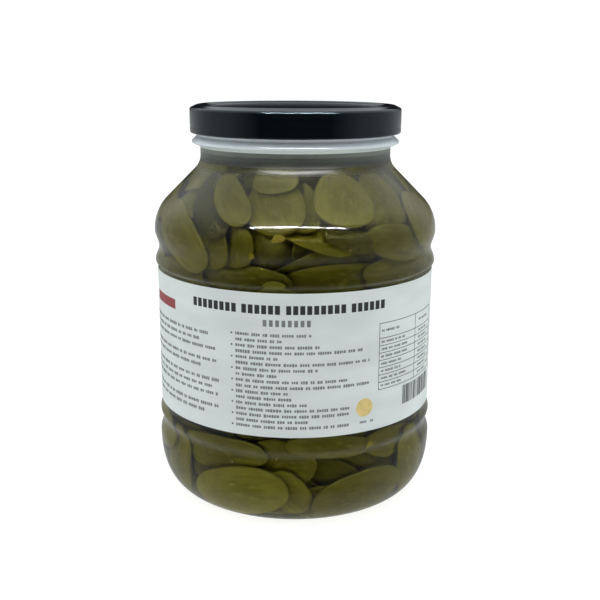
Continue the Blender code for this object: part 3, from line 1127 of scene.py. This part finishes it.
def slice_points(place, draped, thick, chance):
    """The points of one slice as (turned place, place in the slice) in mm."""
    turn, along, half_length, half_width, tilt = place[:5]
    swing = chance.uniform(0, 2 * math.pi, 4)
    angle = np.linspace(0, 2 * math.pi, SIDES, endpoint=False)
    cosine = np.cos(angle)
    sine = np.sin(angle)
    oval = (np.abs(cosine) ** OVAL_POWER + np.abs(sine) ** OVAL_POWER) ** (-1 / OVAL_POWER)
    uneven = 1 + SWELL * np.cos(angle + swing[0]) + LOBES * np.cos(3 * angle + swing[1])
    out, sunk = np.array(RINGS).T
    length = with_middles(0, np.outer(out, half_length * cosine * oval * uneven), 0)
    cross = with_middles(0, np.outer(out, half_width * sine * oval * uneven), 0)
    share = with_middles(0, np.repeat(np.where(sunk < BACK_FROM, out, 2 - out), SIDES), 2)
    sink = with_middles(0, np.repeat(sunk * thick, SIDES), thick)
    face = np.clip(1.0 - np.minimum(share, 2 - share), 0, 1)
    relief = RELIEF * np.sin(length * 0.45 + swing[2]) * np.sin(cross * 0.6 + swing[3]) * face
    up, aside = leaned(length, cross, tilt)
    centre_r = on_line(along, place[5])[0]
    bearing = math.radians(turn) + aside / centre_r
    deep = read_map(draped, along + up, np.degrees(bearing)) + sink + relief
    r, z = on_line(along + up, np.maximum(deep, LEAST_DEPTH))
    z = z + np.clip(along + up - line_along[-1], 0, TOP_STAND)
    points = np.stack([r * np.sin(bearing), -r * np.cos(bearing), z], axis=1)
    return points, np.stack([length, cross, share], axis=1)


def slice_faces():
    """The faces of one slice, the same for all."""
    faces = []
    last = SLICE_POINTS - 1
    for side in range(SIDES):
        after = (side + 1) % SIDES
        faces.append((0, 1 + side, 1 + after))
        for ring in range(len(RINGS) - 1):
            low = 1 + ring * SIDES
            high = low + SIDES
            faces.append((low + side, high + side, high + after, low + after))
        outer_ring = last - SIDES
        faces.append((outer_ring + side, last, outer_ring + after))
    return faces


print("points of one slice:", SLICE_POINTS)

# %% [markdown]
# All slices become one mesh, as a heap of like things is easier to handle in one piece. The
# places within the slices go along as a mesh attribute, with a second one for each slice's
# size and tone. The tone is partly the slice's own colour and partly painted shade for the
# slices that lie deeper.


# %% The heap of slices
def heap_mesh():
    """Lays all slices and joins them."""
    chance = np.random.default_rng(SEED)
    pattern = slice_faces()
    points = []
    inside = []
    traits = []
    faces = []
    for place in slices:
        thick = chance.uniform(*SLICE_THICK)
        here, where = slice_points(place, lay(place, thick), thick, chance)
        offset = len(points) * SLICE_POINTS
        faces += [tuple(corner + offset for corner in face) for face in pattern]
        points.append(here)
        inside.append(where)
        tone = place[6] + SKIN_MARK * (place in skin_slices)
        traits.append(np.tile([place[2], place[3], tone], (SLICE_POINTS, 1)))
    mesh = plain_mesh("gherkin_slices", np.concatenate(points) * MM, faces)
    for name, values in (("in_slice", inside), ("slice_traits", traits)):
        layer = mesh.attributes.new(name, "FLOAT_VECTOR", "POINT")
        layer.data.foreach_set("vector", np.concatenate(values).ravel())
    mesh.shade_smooth()
    return mesh


slices_mesh = heap_mesh()
print("faces of the slices:", len(slices_mesh.polygons), "deepest, mm:", round(taken.max(), 1))

# %% [markdown]
# Pickled flesh
#
# Vinegar turns the green of a gherkin to olive. Across a slice the colour runs from the skin, a
# thin dark rim, over firm pale flesh to the seed bed in the middle, a little darker and
# yellower, with flat pale seeds that lie lengthwise. The share of the way out drives a colour
# ramp for this, a noise stretched along the slice gives the fibres, and a Voronoi pattern in
# the slice's own millimetres gives the seeds. End pieces show their dark rind instead, with
# warts from a second such pattern.

# %% Pickled flesh
SKIN = (0.092, 0.088, 0.020)
UNDER_SKIN = (0.128, 0.124, 0.021)
FLESH = (0.160, 0.149, 0.027)
SEED_BED = (0.133, 0.122, 0.016)
SEEDS = (0.194, 0.182, 0.044)
BROWNED = (0.92, 0.74, 0.55)
RIND = (0.066, 0.060, 0.014)
WARTS = (0.040, 0.030, 0.008)
FLESH_STOPS = [
    (0.0, SEED_BED),
    (0.24, SEED_BED),
    (0.33, FLESH),
    (0.472, FLESH),
    (0.490, UNDER_SKIN),
    (0.500, SKIN),
    (0.52, SKIN),
    (0.54, FLESH),
]


def cells(tree, where, scale):
    """The distance to the nearest of many scattered spots."""
    return node(tree, "ShaderNodeTexVoronoi", {"Vector": where, "Scale": scale}).outputs[0]


def seed_mask(tree, length, cross, share, tone):
    """1 on the seeds, which lie lengthwise in the seed bed, fewer towards its edge."""
    along = maths(tree, "MULTIPLY", length, 0.17)
    across = maths(tree, "MULTIPLY", cross, 0.42)
    where = node(tree, "ShaderNodeCombineXYZ", {0: along, 1: across, 2: tone}).outputs[0]
    seed = spread(tree, cells(tree, where, 1.0), 0.34, 0.24)
    seeds = maths(tree, "MULTIPLY", seed, spread(tree, share, 0.62, 0.45))
    return maths(tree, "MULTIPLY", seeds, 0.75)


def flesh_look():
    """The material of the slices."""
    look, tree, shader = new_look("pickled flesh")
    inside = node(tree, "ShaderNodeAttribute", attribute_name="in_slice").outputs["Vector"]
    traits = node(tree, "ShaderNodeAttribute", attribute_name="slice_traits").outputs["Vector"]
    length, cross, share = node(tree, "ShaderNodeSeparateXYZ", {0: inside}).outputs
    tone = node(tree, "ShaderNodeSeparateXYZ", {0: traits}).outputs[2]
    drawn = node(tree, "ShaderNodeCombineXYZ", {0: maths(tree, "MULTIPLY", length, 0.25), 1: cross})
    own = {0: drawn.outputs[0], 1: traits}
    fibre = noise(tree, node(tree, "ShaderNodeVectorMath", own, operation="ADD").outputs[0], 0.55, 4.0)
    out = maths(tree, "ADD", share, maths(tree, "MULTIPLY_ADD", fibre, 0.10, -0.05))
    flesh = ramp(tree, maths(tree, "MULTIPLY", out, 0.5), FLESH_STOPS)
    seeds = seed_mask(tree, length, cross, share, tone)
    flesh = mixed(tree, seeds, flesh, SEEDS)
    flesh = mixed(tree, soft_patches(tree, 55.0, 0.0, 0.55), flesh, BROWNED, blend="MULTIPLY")
    rind = maths(tree, "GREATER_THAN", tone, 0.75 * SKIN_MARK)
    wart = spread(tree, cells(tree, inside, 0.42), 0.42, 0.12)
    flesh = mixed(tree, rind, flesh, mixed(tree, wart, RIND, WARTS))
    within = maths(tree, "SUBTRACT", tone, maths(tree, "MULTIPLY", rind, SKIN_MARK))
    # The tone sets the slice's lightness, which darkens deeper slices: painted shade.
    lightness = maths(tree, "MULTIPLY_ADD", within, 0.62, 0.54)
    mottle = maths(tree, "MULTIPLY_ADD", fibre, 0.80, 0.60)
    toned = {0: flesh, 3: maths(tree, "MULTIPLY", lightness, mottle)}
    bumps = maths(tree, "MULTIPLY", maths(tree, "MULTIPLY", rind, wart), 2.0)
    height = maths(tree, "ADD", maths(tree, "ADD", fibre, seeds), bumps)
    feed(shader, {
        "Base Color": node(tree, "ShaderNodeVectorMath", toned, operation="SCALE").outputs[0],
        "Normal": bumped(tree, height, 0.35, 0.3 * MM),
        "Roughness": soft_patches(tree, 200.0, 0.35, 0.5),
        "Specular IOR Level": 0.05,
        "Subsurface Weight": 0.5,
        "Subsurface Radius": (0.0048, 0.0044, 0.0016),
        "Subsurface Scale": 1.0,
    })
    return look


add_piece("gherkin_slices", slices_mesh, [flesh_look()], "gherkin", "pickle_slices")
print("half lengths, mm:", min(p[2] for p in slices), "to", round(max(p[2] for p in slices), 1))

# %% [markdown]
# Behind the slices that show lies the rest of the filling. It is never seen clearly, so one
# uneven body stands in for it, turned from the filling's own outline and pushed in and out by
# waves. Its dark colour is painted shade, for the little light that reaches so deep into the
# heap, so that nothing bright shines through the gaps.

# %% The heap's core
CORE_DEPTH = 15.0
CORE_RINGS = 40
CORE_WAVE = 1.6
CORE_CLEARANCE = 1.6 * MM
CORE_SEGMENTS = 72
# Painted shade: the dark tones of the filling deep in the heap.
CORE_DARK = (0.07, 0.068, 0.024)
CORE_LIGHT = (0.16, 0.150, 0.058)


def core_mesh():
    """A dark uneven body inside the filling's outline."""
    along = np.linspace(0.0, line_along[-1], CORE_RINGS)
    low_z = PUSH_UP + BASE_WALL + CORE_CLEARANCE
    wall = [(r * MM, min(max(z * MM, low_z), FILL_TOP_Z)) for r, z in zip(*on_line(along, CORE_DEPTH))]
    outline = [(0.0, FILL_TOP_Z)] + wall[::-1] + [(0.0, low_z)]
    mesh = turned_mesh("heap_core", outline, segments=CORE_SEGMENTS)
    for vert in mesh.vertices:
        x, y, z = vert.co
        radius = math.hypot(x, y)
        if radius > MM:
            turn = math.atan2(x, -y)
            wave = math.sin(7 * turn + 90 * z) * math.sin(160 * z + 3 * turn)
            grow = 1 + CORE_WAVE * MM * wave / radius
            vert.co = (x * grow, y * grow, z)
    return mesh


core_inputs = {"Roughness": 0.6, "Specular IOR Level": 0.1}
core_look = drifting_look("shaded deep filling", 70.0, CORE_DARK, CORE_LIGHT, core_inputs)
add_piece("heap_core", core_mesh(), [core_look], "gherkin", "pickle_slices")
print("core depth, mm:", CORE_DEPTH)

# %% [markdown]
# Spices
#
# Mustard seeds and scraps of pepper float free in the brine and settle against the wall. Each
# seed is a small ball and each scrap a thin oval that follows the wall. A particle system could
# scatter them, but one joined mesh for each kind keeps them exportable. A seeded draw places
# the seeds, and a short list places the scraps.

# %% Spices
SEED_SIZE = (0.45, 0.8)
SEED_COUNT = 24
SEED_SIDES = 10
SEED_RINGS = 5
SEED_FLAT = 0.9
LOW_SHARE = 0.6
LOW_RUN = (16, 46)
HIGH_RUN = (122, 166)
SPICE_DEPTH = -1.15
SCRAP_HALF_THICK = 0.3
SCRAP_SIDES = 24
SCRAP_LOBES = 0.12
MUSTARD_TONES = ((0.10, 0.075, 0.014), (0.15, 0.11, 0.022))
PEPPER_TONES = ((0.150, 0.122, 0.001), (0.205, 0.145, 0.002))
SCRAP_PLACES = [
    (-6.0, 154.0, 3.2, 1.7, 80),
    (-16.0, 146.0, 1.5, 1.3, 10),
    (31.0, 49.0, 2.2, 1.2, 60),
    (-70.0, 44.0, 3.4, 1.8, 30),
    (104.0, 150.0, 4.0, 2.2, 70),
    (-138.0, 152.0, 3.6, 2.0, -20),
    (176.0, 30.0, 4.2, 2.1, 80),
]


def around(r, turn, z):
    """A point by its radius, its turn from the front in radians and its height."""
    return r * math.sin(turn), -r * math.cos(turn), z


def ring_faces(low, high, count, flip=False):
    """The faces between two rings of points, given by the rings' first points."""
    faces = []
    for side in range(count):
        after = (side + 1) % count
        face = (low + side, high + side, high + after, low + after)
        faces.append((face[0], face[3], face[2], face[1]) if flip else face)
    return faces


def cap_faces(first, last, count):
    """The two flat ends of a stack of rings."""
    sides = range(count)
    return [tuple(first + side for side in sides), tuple(last + side for side in reversed(sides))]


def seeds_mesh():
    """Small balls in the gap between the slices and the wall."""
    draw = random.Random(SEED)
    points = []
    faces = []
    for _ in range(SEED_COUNT):
        low = draw.random() < LOW_SHARE
        along = draw.uniform(*LOW_RUN) if low else draw.uniform(*HIGH_RUN)
        turn = math.radians(draw.uniform(-180, 180))
        radius = draw.uniform(*SEED_SIZE)
        r, z = on_line(along, SPICE_DEPTH)
        centre = np.array(around(r, turn, z))
        start = len(points)
        for ring in range(1, SEED_RINGS + 1):
            up = math.pi * ring / (SEED_RINGS + 1)
            for side in range(SEED_SIDES):
                angle = 2 * math.pi * side / SEED_SIDES
                across = math.sin(up)
                spot = [across * math.cos(angle), across * math.sin(angle), math.cos(up) * SEED_FLAT]
                points.append(tuple((centre + radius * np.array(spot)) * MM))
        last = start + (SEED_RINGS - 1) * SEED_SIDES
        for low_ring in range(start, last, SEED_SIDES):
            faces += ring_faces(low_ring, low_ring + SEED_SIDES, SEED_SIDES)
        faces += cap_faces(start, last, SEED_SIDES)
    mesh = plain_mesh("mustard_seeds", points, faces)
    mesh.shade_smooth()
    return mesh


def scraps_mesh():
    """Thin ovals that lie along the wall."""
    points = []
    faces = []
    for turn, along, half_length, half_width, tilt in SCRAP_PLACES:
        start = len(points)
        for depth in (SPICE_DEPTH - SCRAP_HALF_THICK, SPICE_DEPTH + SCRAP_HALF_THICK):
            for side in range(SCRAP_SIDES):
                angle = 2 * math.pi * side / SCRAP_SIDES
                edge = 1 + SCRAP_LOBES * math.sin(3 * angle + turn)
                length = half_length * math.cos(angle) * edge
                up, aside = leaned(length, half_width * math.sin(angle) * edge, tilt)
                r, z = on_line(along + up, depth)
                points.append(tuple(c * MM for c in around(r, math.radians(turn) + aside / r, z)))
        faces += cap_faces(start, start + SCRAP_SIDES, SCRAP_SIDES)
        faces += ring_faces(start, start + SCRAP_SIDES, SCRAP_SIDES)
    return plain_mesh("pepper_scraps", points, faces)


def spice_look(name, tones, scale):
    """Wet spice with a soft change of tone from piece to piece."""
    look = drifting_look(name, scale, *tones, {"Roughness": 0.45, "Specular IOR Level": 0.08})
    tree = look.node_tree
    waver = bumped(tree, ripple_height(tree, 300.0, 1200.0, 0.3), 0.3, 0.05 * MM)
    feed(tree.nodes["Principled BSDF"], {"Normal": waver})
    return look


mustard = spice_look("mustard", MUSTARD_TONES, 120.0)
pepper = spice_look("pepper", PEPPER_TONES, 260.0)
add_piece("mustard_seeds", seeds_mesh(), [mustard], "gherkin")
add_piece("pepper_scraps", scraps_mesh(), [pepper], "gherkin")
print("spices:", SEED_COUNT, "seeds and", len(SCRAP_PLACES), "scraps")

# %% [markdown]
# The label
#
# The label is a strip of coated paper, wrapped round the recess in the jar and glued to itself
# at the back. Paper on a plastic jar is never quite flat: it has faint vertical wrinkles and
# its overlap stands a little proud. The strip is built as a grid with an inner and an outer
# face, so that its edges have thickness.

# %% The label's shape
LABEL_TOP_Z = 121.8 * MM
LABEL_BOTTOM_Z = 49.8 * MM
LABEL_THICK = 0.3 * MM
LABEL_GAP = 0.3 * MM
LABEL_R = PANEL_R + LABEL_GAP + LABEL_THICK
LABEL_COLUMNS = 360
LABEL_ROWS = 12
WRINKLE = 0.05 * MM
PAPER_STEP = 0.25 * MM
STRIP_THICK = 0.8 * LABEL_THICK
OVERLAP_FROM = math.radians(176)
OVERLAP_TO = math.radians(185)


def wrinkle(turn, z):
    """How far the paper stands out from its radius at a turn in radians and a height."""
    slow = math.sin(9 * turn + 1.3) * math.sin(31 * z + 2 * turn)
    fast = math.sin(37 * turn + 60 * z) * math.sin(5 * turn + 45 * z)
    overlap = PAPER_STEP if OVERLAP_FROM < turn % (2 * math.pi) < OVERLAP_TO else 0.0
    return WRINKLE * (0.6 * slow + 0.4 * fast) - WRINKLE + overlap


def label_mesh():
    """The paper strip as a closed sleeve."""
    points = []
    for face_in in (0.0, STRIP_THICK):
        for row in range(LABEL_ROWS + 1):
            z = LABEL_BOTTOM_Z + (LABEL_TOP_Z - LABEL_BOTTOM_Z) * row / LABEL_ROWS
            for column in range(LABEL_COLUMNS):
                turn = 2 * math.pi * column / LABEL_COLUMNS
                points.append(around(LABEL_R - face_in + wrinkle(turn, z), turn, z))
    faces = []
    inner = (LABEL_ROWS + 1) * LABEL_COLUMNS
    top = LABEL_ROWS * LABEL_COLUMNS
    for low in range(0, top, LABEL_COLUMNS):
        high = low + LABEL_COLUMNS
        faces += ring_faces(low, high, LABEL_COLUMNS, flip=True)
        faces += ring_faces(inner + high, inner + low, LABEL_COLUMNS, flip=True)
    faces += ring_faces(top, inner + top, LABEL_COLUMNS, flip=True)
    faces += ring_faces(inner, 0, LABEL_COLUMNS, flip=True)
    mesh = plain_mesh("paper_label", points, faces)
    mesh.shade_smooth()
    mesh.set_sharp_from_angle(angle=math.radians(40))
    return mesh


sleeve_mesh = label_mesh()
label_height = LABEL_TOP_Z - LABEL_BOTTOM_Z
print("label, mm:", round(2 * math.pi * LABEL_R / MM), "by", round(label_height / MM))

# %% [markdown]
# Coated paper is matt white with a soft sheen. Where damp has reached it, it cockles in low
# slanted ripples. Their shading is painted into the colour: a stretched noise darkens it in
# faint slanted bands of painted shade. The colour leans a little to cool grey-green, as the
# photograph's white does.

# %% Coated paper
PAPER = (0.86, 0.930, 0.905)
DAMP_SHADE = 0.925
COCKLE_LEAN = math.radians(25)
COCKLE_STRETCH = (1.0, 1.0, 3.2)


def paper_look():
    """White coated label paper."""
    look, tree, shader = new_look("coated paper")
    turned = {"Vector": own_place(tree), "Rotation": (0.0, COCKLE_LEAN, 0.0), "Scale": COCKLE_STRETCH}
    slanted = node(tree, "ShaderNodeMapping", turned).outputs[0]
    drift = spread(tree, noise(tree, slanted, 34.0, 1.5), 0.35, 0.65)
    # Painted shade: the ripples' shading as a darker tone in slanted bands.
    worn = tuple(channel * DAMP_SHADE for channel in PAPER)
    feed(shader, {
        "Base Color": mixed(tree, drift, PAPER, worn),
        "Roughness": soft_patches(tree, 90.0, 0.42, 0.52),
        "Normal": bumped(tree, ripple_height(tree, 45.0, 900.0, 0.02), 0.8, 0.6 * MM),
    })
    return look


add_piece("paper_label", sleeve_mesh, [paper_look()], "label_paper", "label")
print("paper thickness, mm:", LABEL_THICK / MM)

# %% [markdown]
# The print
#
# The print is ink on the paper: thin shapes that hug the sleeve. Each shape is given flat, in
# millimetres round the jar from the front's middle and millimetres of height, and bent onto the
# sleeve. The design is plain: rows of blocks and dashes, ruled lines, stripes and two fields of
# colour.

# %% Ink shapes
INK_LIFT = 0.04 * MM
BEND_STEP = 2.0
SLIVER = 0.8
LEAST_SLIVERS = 8
DASH_GROUP = (2, 6)
DASH_WIDE = (0.55, 0.95)
DASH_TALL = (0.45, 0.65)
DASH_SPACE = 0.22
GROUP_SPACE = 0.9
ink_random = random.Random(5)


class Ink:
    """Collects flat shapes of one colour as bent faces."""

    def __init__(self):
        self.points = []
        self.faces = []

    def shape(self, outline):
        """A flat polygon given in mm, with its corners anticlockwise as seen."""
        start = len(self.points)
        for aside, height in outline:
            turn = aside * MM / LABEL_R
            z = height * MM
            for lift in (INK_LIFT, -INK_LIFT):
                self.points.append(around(LABEL_R + wrinkle(turn, z) + lift, turn, z))
        count = len(outline)
        self.faces.append(tuple(start + 2 * i for i in range(count)))
        self.faces.append(tuple(start + 2 * i + 1 for i in reversed(range(count))))
        for i in range(count):
            j = (i + 1) % count
            self.faces.append((start + 2 * i, start + 2 * i + 1, start + 2 * j + 1, start + 2 * j))

    def strip(self, left, right, low, high):
        """A bar, cut into short lengths so that it bends with the sleeve."""
        count = max(1, math.ceil((right - left) / BEND_STEP))
        for index in range(count):
            a = left + (right - left) * index / count
            b = left + (right - left) * (index + 1) / count
            self.shape([(a, low), (b, low), (b, high), (a, high)])

    def disc(self, aside, height, radius):
        """A filled disc, cut into upright slivers."""
        count = max(LEAST_SLIVERS, math.ceil(2 * radius / SLIVER))
        for index in range(count):
            sides = []
            for edge in (index, index + 1):
                angle = math.pi * (1 - edge / count)
                sides.append((aside + radius * math.cos(angle), radius * math.sin(angle)))
            (x_a, h_a), (x_b, h_b) = sides
            corners = [(x_a, height - h_a), (x_b, height - h_b), (x_b, height + h_b), (x_a, height + h_a)]
            self.shape([c for i, c in enumerate(corners) if c not in corners[:i]])

    def dashes(self, left, right, middle, size):
        """A row of small blocks in uneven groups."""
        x = left
        while x < right - size:
            for _ in range(ink_random.randint(*DASH_GROUP)):
                wide = size * ink_random.uniform(*DASH_WIDE)
                tall = size * ink_random.uniform(*DASH_TALL)
                low = middle - tall
                high = middle + tall
                if x + wide <= right:
                    self.shape([(x, low), (x + wide, low), (x + wide, high), (x, high)])
                x += wide + DASH_SPACE * size
            x += GROUP_SPACE * size

    def blocks(self, left, right, low, high, pitch, share):
        """A row of even upright blocks."""
        count = max(1, round((right - left) / pitch))
        for index in range(count):
            x = left + (right - left) * index / count
            self.strip(x, x + (right - left) / count * share, low, high)


def print_on(name, ink, colour):
    """Makes a piece of one ink, a little uneven in tone as on real paper."""
    pale = tuple(min(1.0, channel * 1.15 + 0.01) for channel in colour)
    look = drifting_look(name.replace("_", " "), 400.0, colour, pale, {"Roughness": 0.5})
    add_piece(name, plain_mesh(name, ink.points, ink.faces), [look], "label_paper")


print("inks start from", len(Ink().points), "points")

# %% [markdown]
# The front carries one bold row of blocks, a thinner row under it and a field of dashes whose
# rows end unevenly. To its left ends a column of dashes that starts further round the jar. To
# its right stands a ruled table with a panel of upright stripes below it. Only the places of
# the fields are sizes: what fills them is a seeded draw. The lowest rows end earlier, to leave
# room for a disc.

# %% The front of the label
BOLD_LEFT = -54.0
BOLD_RIGHT = 48.0
BOLD_LOW = 111.6
BOLD_HIGH = 115.9
BOLD_PITCH = 3.3
BOLD_GAP = 2.0
BOLD_LEAST = 4
BOLD_MOST = 9
BOLD_SHARE = 0.72
UNDER_LEFT = -15.0
UNDER_RIGHT = 9.0
UNDER_LOW = 105.6
UNDER_HIGH = 108.8
UNDER_PITCH = 3.0
UNDER_SHARE = 0.6
TEXT_LEFT = -29.0
TEXT_RIGHT = 39.0
TEXT_SHORT_RIGHT = 28.0
TEXT_TOP = 101.2
TEXT_ROWS = 12
TEXT_SHORT_ROWS = 5
TEXT_PITCH = 2.9
TEXT_SIZE = 1.25
TEXT_RAGGED = 48.0
TEXT_SHORT_RAGGED = 30.0
DOT_ASIDE = 2.0
DOT_R = 0.45
COLUMN_LEFT = -104.0
COLUMN_RIGHT = -38.0
COLUMN_TOP = 98.9
COLUMN_GROUPS = [3, 2, 3, 2]
COLUMN_PITCH = 3.6
COLUMN_GAP = 2.6
COLUMN_SIZE = 1.35
COLUMN_RAGGED = 20.0

black_ink = Ink()
grey_ink = Ink()


def bold_row(left, right):
    """One heavy row: upright blocks in groups of uneven length."""
    x = left
    while x < right - BOLD_LEAST * BOLD_PITCH:
        end = min(x + BOLD_PITCH * ink_random.randint(BOLD_LEAST, BOLD_MOST), right)
        black_ink.blocks(x, end, BOLD_LOW, BOLD_HIGH, BOLD_PITCH, BOLD_SHARE)
        x = end + BOLD_GAP


def ragged_rows(left, right, top, rows, pitch, size, ragged):
    """A field of dashes. Most rows end near the right edge, and some stop well short of it."""
    for index in range(rows):
        short = ragged * ink_random.random() ** 2
        grey_ink.dashes(left, right - short, top - pitch * index, size)


bold_row(BOLD_LEFT, BOLD_RIGHT)
grey_ink.blocks(UNDER_LEFT, UNDER_RIGHT, UNDER_LOW, UNDER_HIGH, UNDER_PITCH, UNDER_SHARE)
ragged_rows(TEXT_LEFT, TEXT_RIGHT, TEXT_TOP, TEXT_ROWS, TEXT_PITCH, TEXT_SIZE, TEXT_RAGGED)
short_top = TEXT_TOP - TEXT_PITCH * TEXT_ROWS
short_field = (TEXT_LEFT, TEXT_SHORT_RIGHT, short_top, TEXT_SHORT_ROWS)
ragged_rows(*short_field, TEXT_PITCH, TEXT_SIZE, TEXT_SHORT_RAGGED)
for index in range(0, TEXT_ROWS + TEXT_SHORT_ROWS, 2):
    black_ink.disc(TEXT_LEFT - DOT_ASIDE, TEXT_TOP - TEXT_PITCH * index, DOT_R)
group_top = COLUMN_TOP
for rows in COLUMN_GROUPS:
    ragged_rows(COLUMN_LEFT, COLUMN_RIGHT, group_top, rows, COLUMN_PITCH, COLUMN_SIZE, COLUMN_RAGGED)
    group_top -= COLUMN_PITCH * rows + COLUMN_GAP
print("bold row, mm:", BOLD_LEFT, "to", BOLD_RIGHT)

# %% [markdown]
# The table is drawn with thin bars, and each of its rows holds two runs of dashes. The stripes
# below it take their widths and the gaps between them from the same seeded draw.

# %% The table and the stripes
TABLE_LEFT = 44.0
TABLE_RIGHT = 94.0
TABLE_SPLIT = 72.0
TABLE_TOP = 104.0
TABLE_HEAD = 7.6
TABLE_PITCH = 3.75
TABLE_ROWS = 8
TABLE_FIRST_INSET = 1.5
TABLE_FIRST_LENGTH = (14, 26)
TABLE_FIRST_SIZE = 1.0
TABLE_SECOND_INSETS = (4, 6)
TABLE_SECOND_SIZE = 0.9
RULE = 0.3
STRIPES_LEFT = 62.0
STRIPES_RIGHT = 94.0
STRIPES_LOW = 58.5
STRIPES_HIGH = 68.5
STRIPE_WIDTHS = [0.33, 0.33, 0.66, 0.99]
STRIPE_SPACES = [0.33, 0.66, 0.99]

drops = [0.0] + [TABLE_HEAD + TABLE_PITCH * row for row in range(TABLE_ROWS)]
for drop in drops:
    black_ink.strip(TABLE_LEFT, TABLE_RIGHT, TABLE_TOP - drop - RULE / 2, TABLE_TOP - drop + RULE / 2)
for aside in (TABLE_LEFT, TABLE_SPLIT, TABLE_RIGHT):
    black_ink.strip(aside, aside + RULE, TABLE_TOP - drops[-1], TABLE_TOP)
second = (TABLE_SPLIT + TABLE_SECOND_INSETS[0], TABLE_RIGHT - TABLE_SECOND_INSETS[1])
for above, below in zip(drops, drops[1:]):
    middle = TABLE_TOP - (above + below) / 2
    first_end = TABLE_LEFT + ink_random.uniform(*TABLE_FIRST_LENGTH)
    grey_ink.dashes(TABLE_LEFT + TABLE_FIRST_INSET, first_end, middle, TABLE_FIRST_SIZE)
    grey_ink.dashes(*second, middle, TABLE_SECOND_SIZE)
x = STRIPES_LEFT
while x < STRIPES_RIGHT:
    bar = ink_random.choice(STRIPE_WIDTHS)
    black_ink.strip(x, x + bar, STRIPES_LOW, STRIPES_HIGH)
    x += bar + ink_random.choice(STRIPE_SPACES)
print("table, mm wide:", TABLE_RIGHT - TABLE_LEFT)

# %% [markdown]
# The back repeats the front's plain design on both sides of the sleeve's overlap: a bold row
# over a field of small blocks.

# %% The back of the label
BACK_FIELDS = [(108.0, 214.0), (-214.0, -122.0)]
BACK_TOP_ROW = 99.0
BACK_ROWS = 11
BACK_PITCH = 3.6
BACK_RAGGED = 24.0

for left, right in BACK_FIELDS:
    bold_row(left, right)
    ragged_rows(left, right, BACK_TOP_ROW, BACK_ROWS, BACK_PITCH, TEXT_SIZE, BACK_RAGGED)
print("rows at the back:", BACK_ROWS)

# %% [markdown]
# Two small fields bring colour: a plain dull red bar at the left and a pale yellow disc at the
# lower right, with two short dashes under it. Then each ink becomes a piece.

# %% Fields of colour
RED_BAR = (-97.0, -70.0, 106.2, 111.2)
DISC_ASIDE = 36.0
DISC_HEIGHT = 62.5
DISC_R = 4.7
DISC_DASHES = [(33.5, 37.5), (39.5, 42.5)]
DISC_DASHES_HEIGHT = 55.0
DISC_DASHES_SIZE = 1.0
BLACK = (0.012, 0.014, 0.016)
GREY = (0.20, 0.21, 0.215)
RED = (0.33, 0.035, 0.040)
YELLOW = (0.80, 0.62, 0.22)

red_ink = Ink()
yellow_ink = Ink()
red_ink.strip(*RED_BAR)
yellow_ink.disc(DISC_ASIDE, DISC_HEIGHT, DISC_R)
for left, right in DISC_DASHES:
    grey_ink.dashes(left, right, DISC_DASHES_HEIGHT, DISC_DASHES_SIZE)
print_on("label_print_black", black_ink, BLACK)
print_on("label_print_grey", grey_ink, GREY)
print_on("label_print_red", red_ink, RED)
print_on("label_print_yellow", yellow_ink, YELLOW)
print("ink shapes:", len(black_ink.faces) + len(grey_ink.faces))
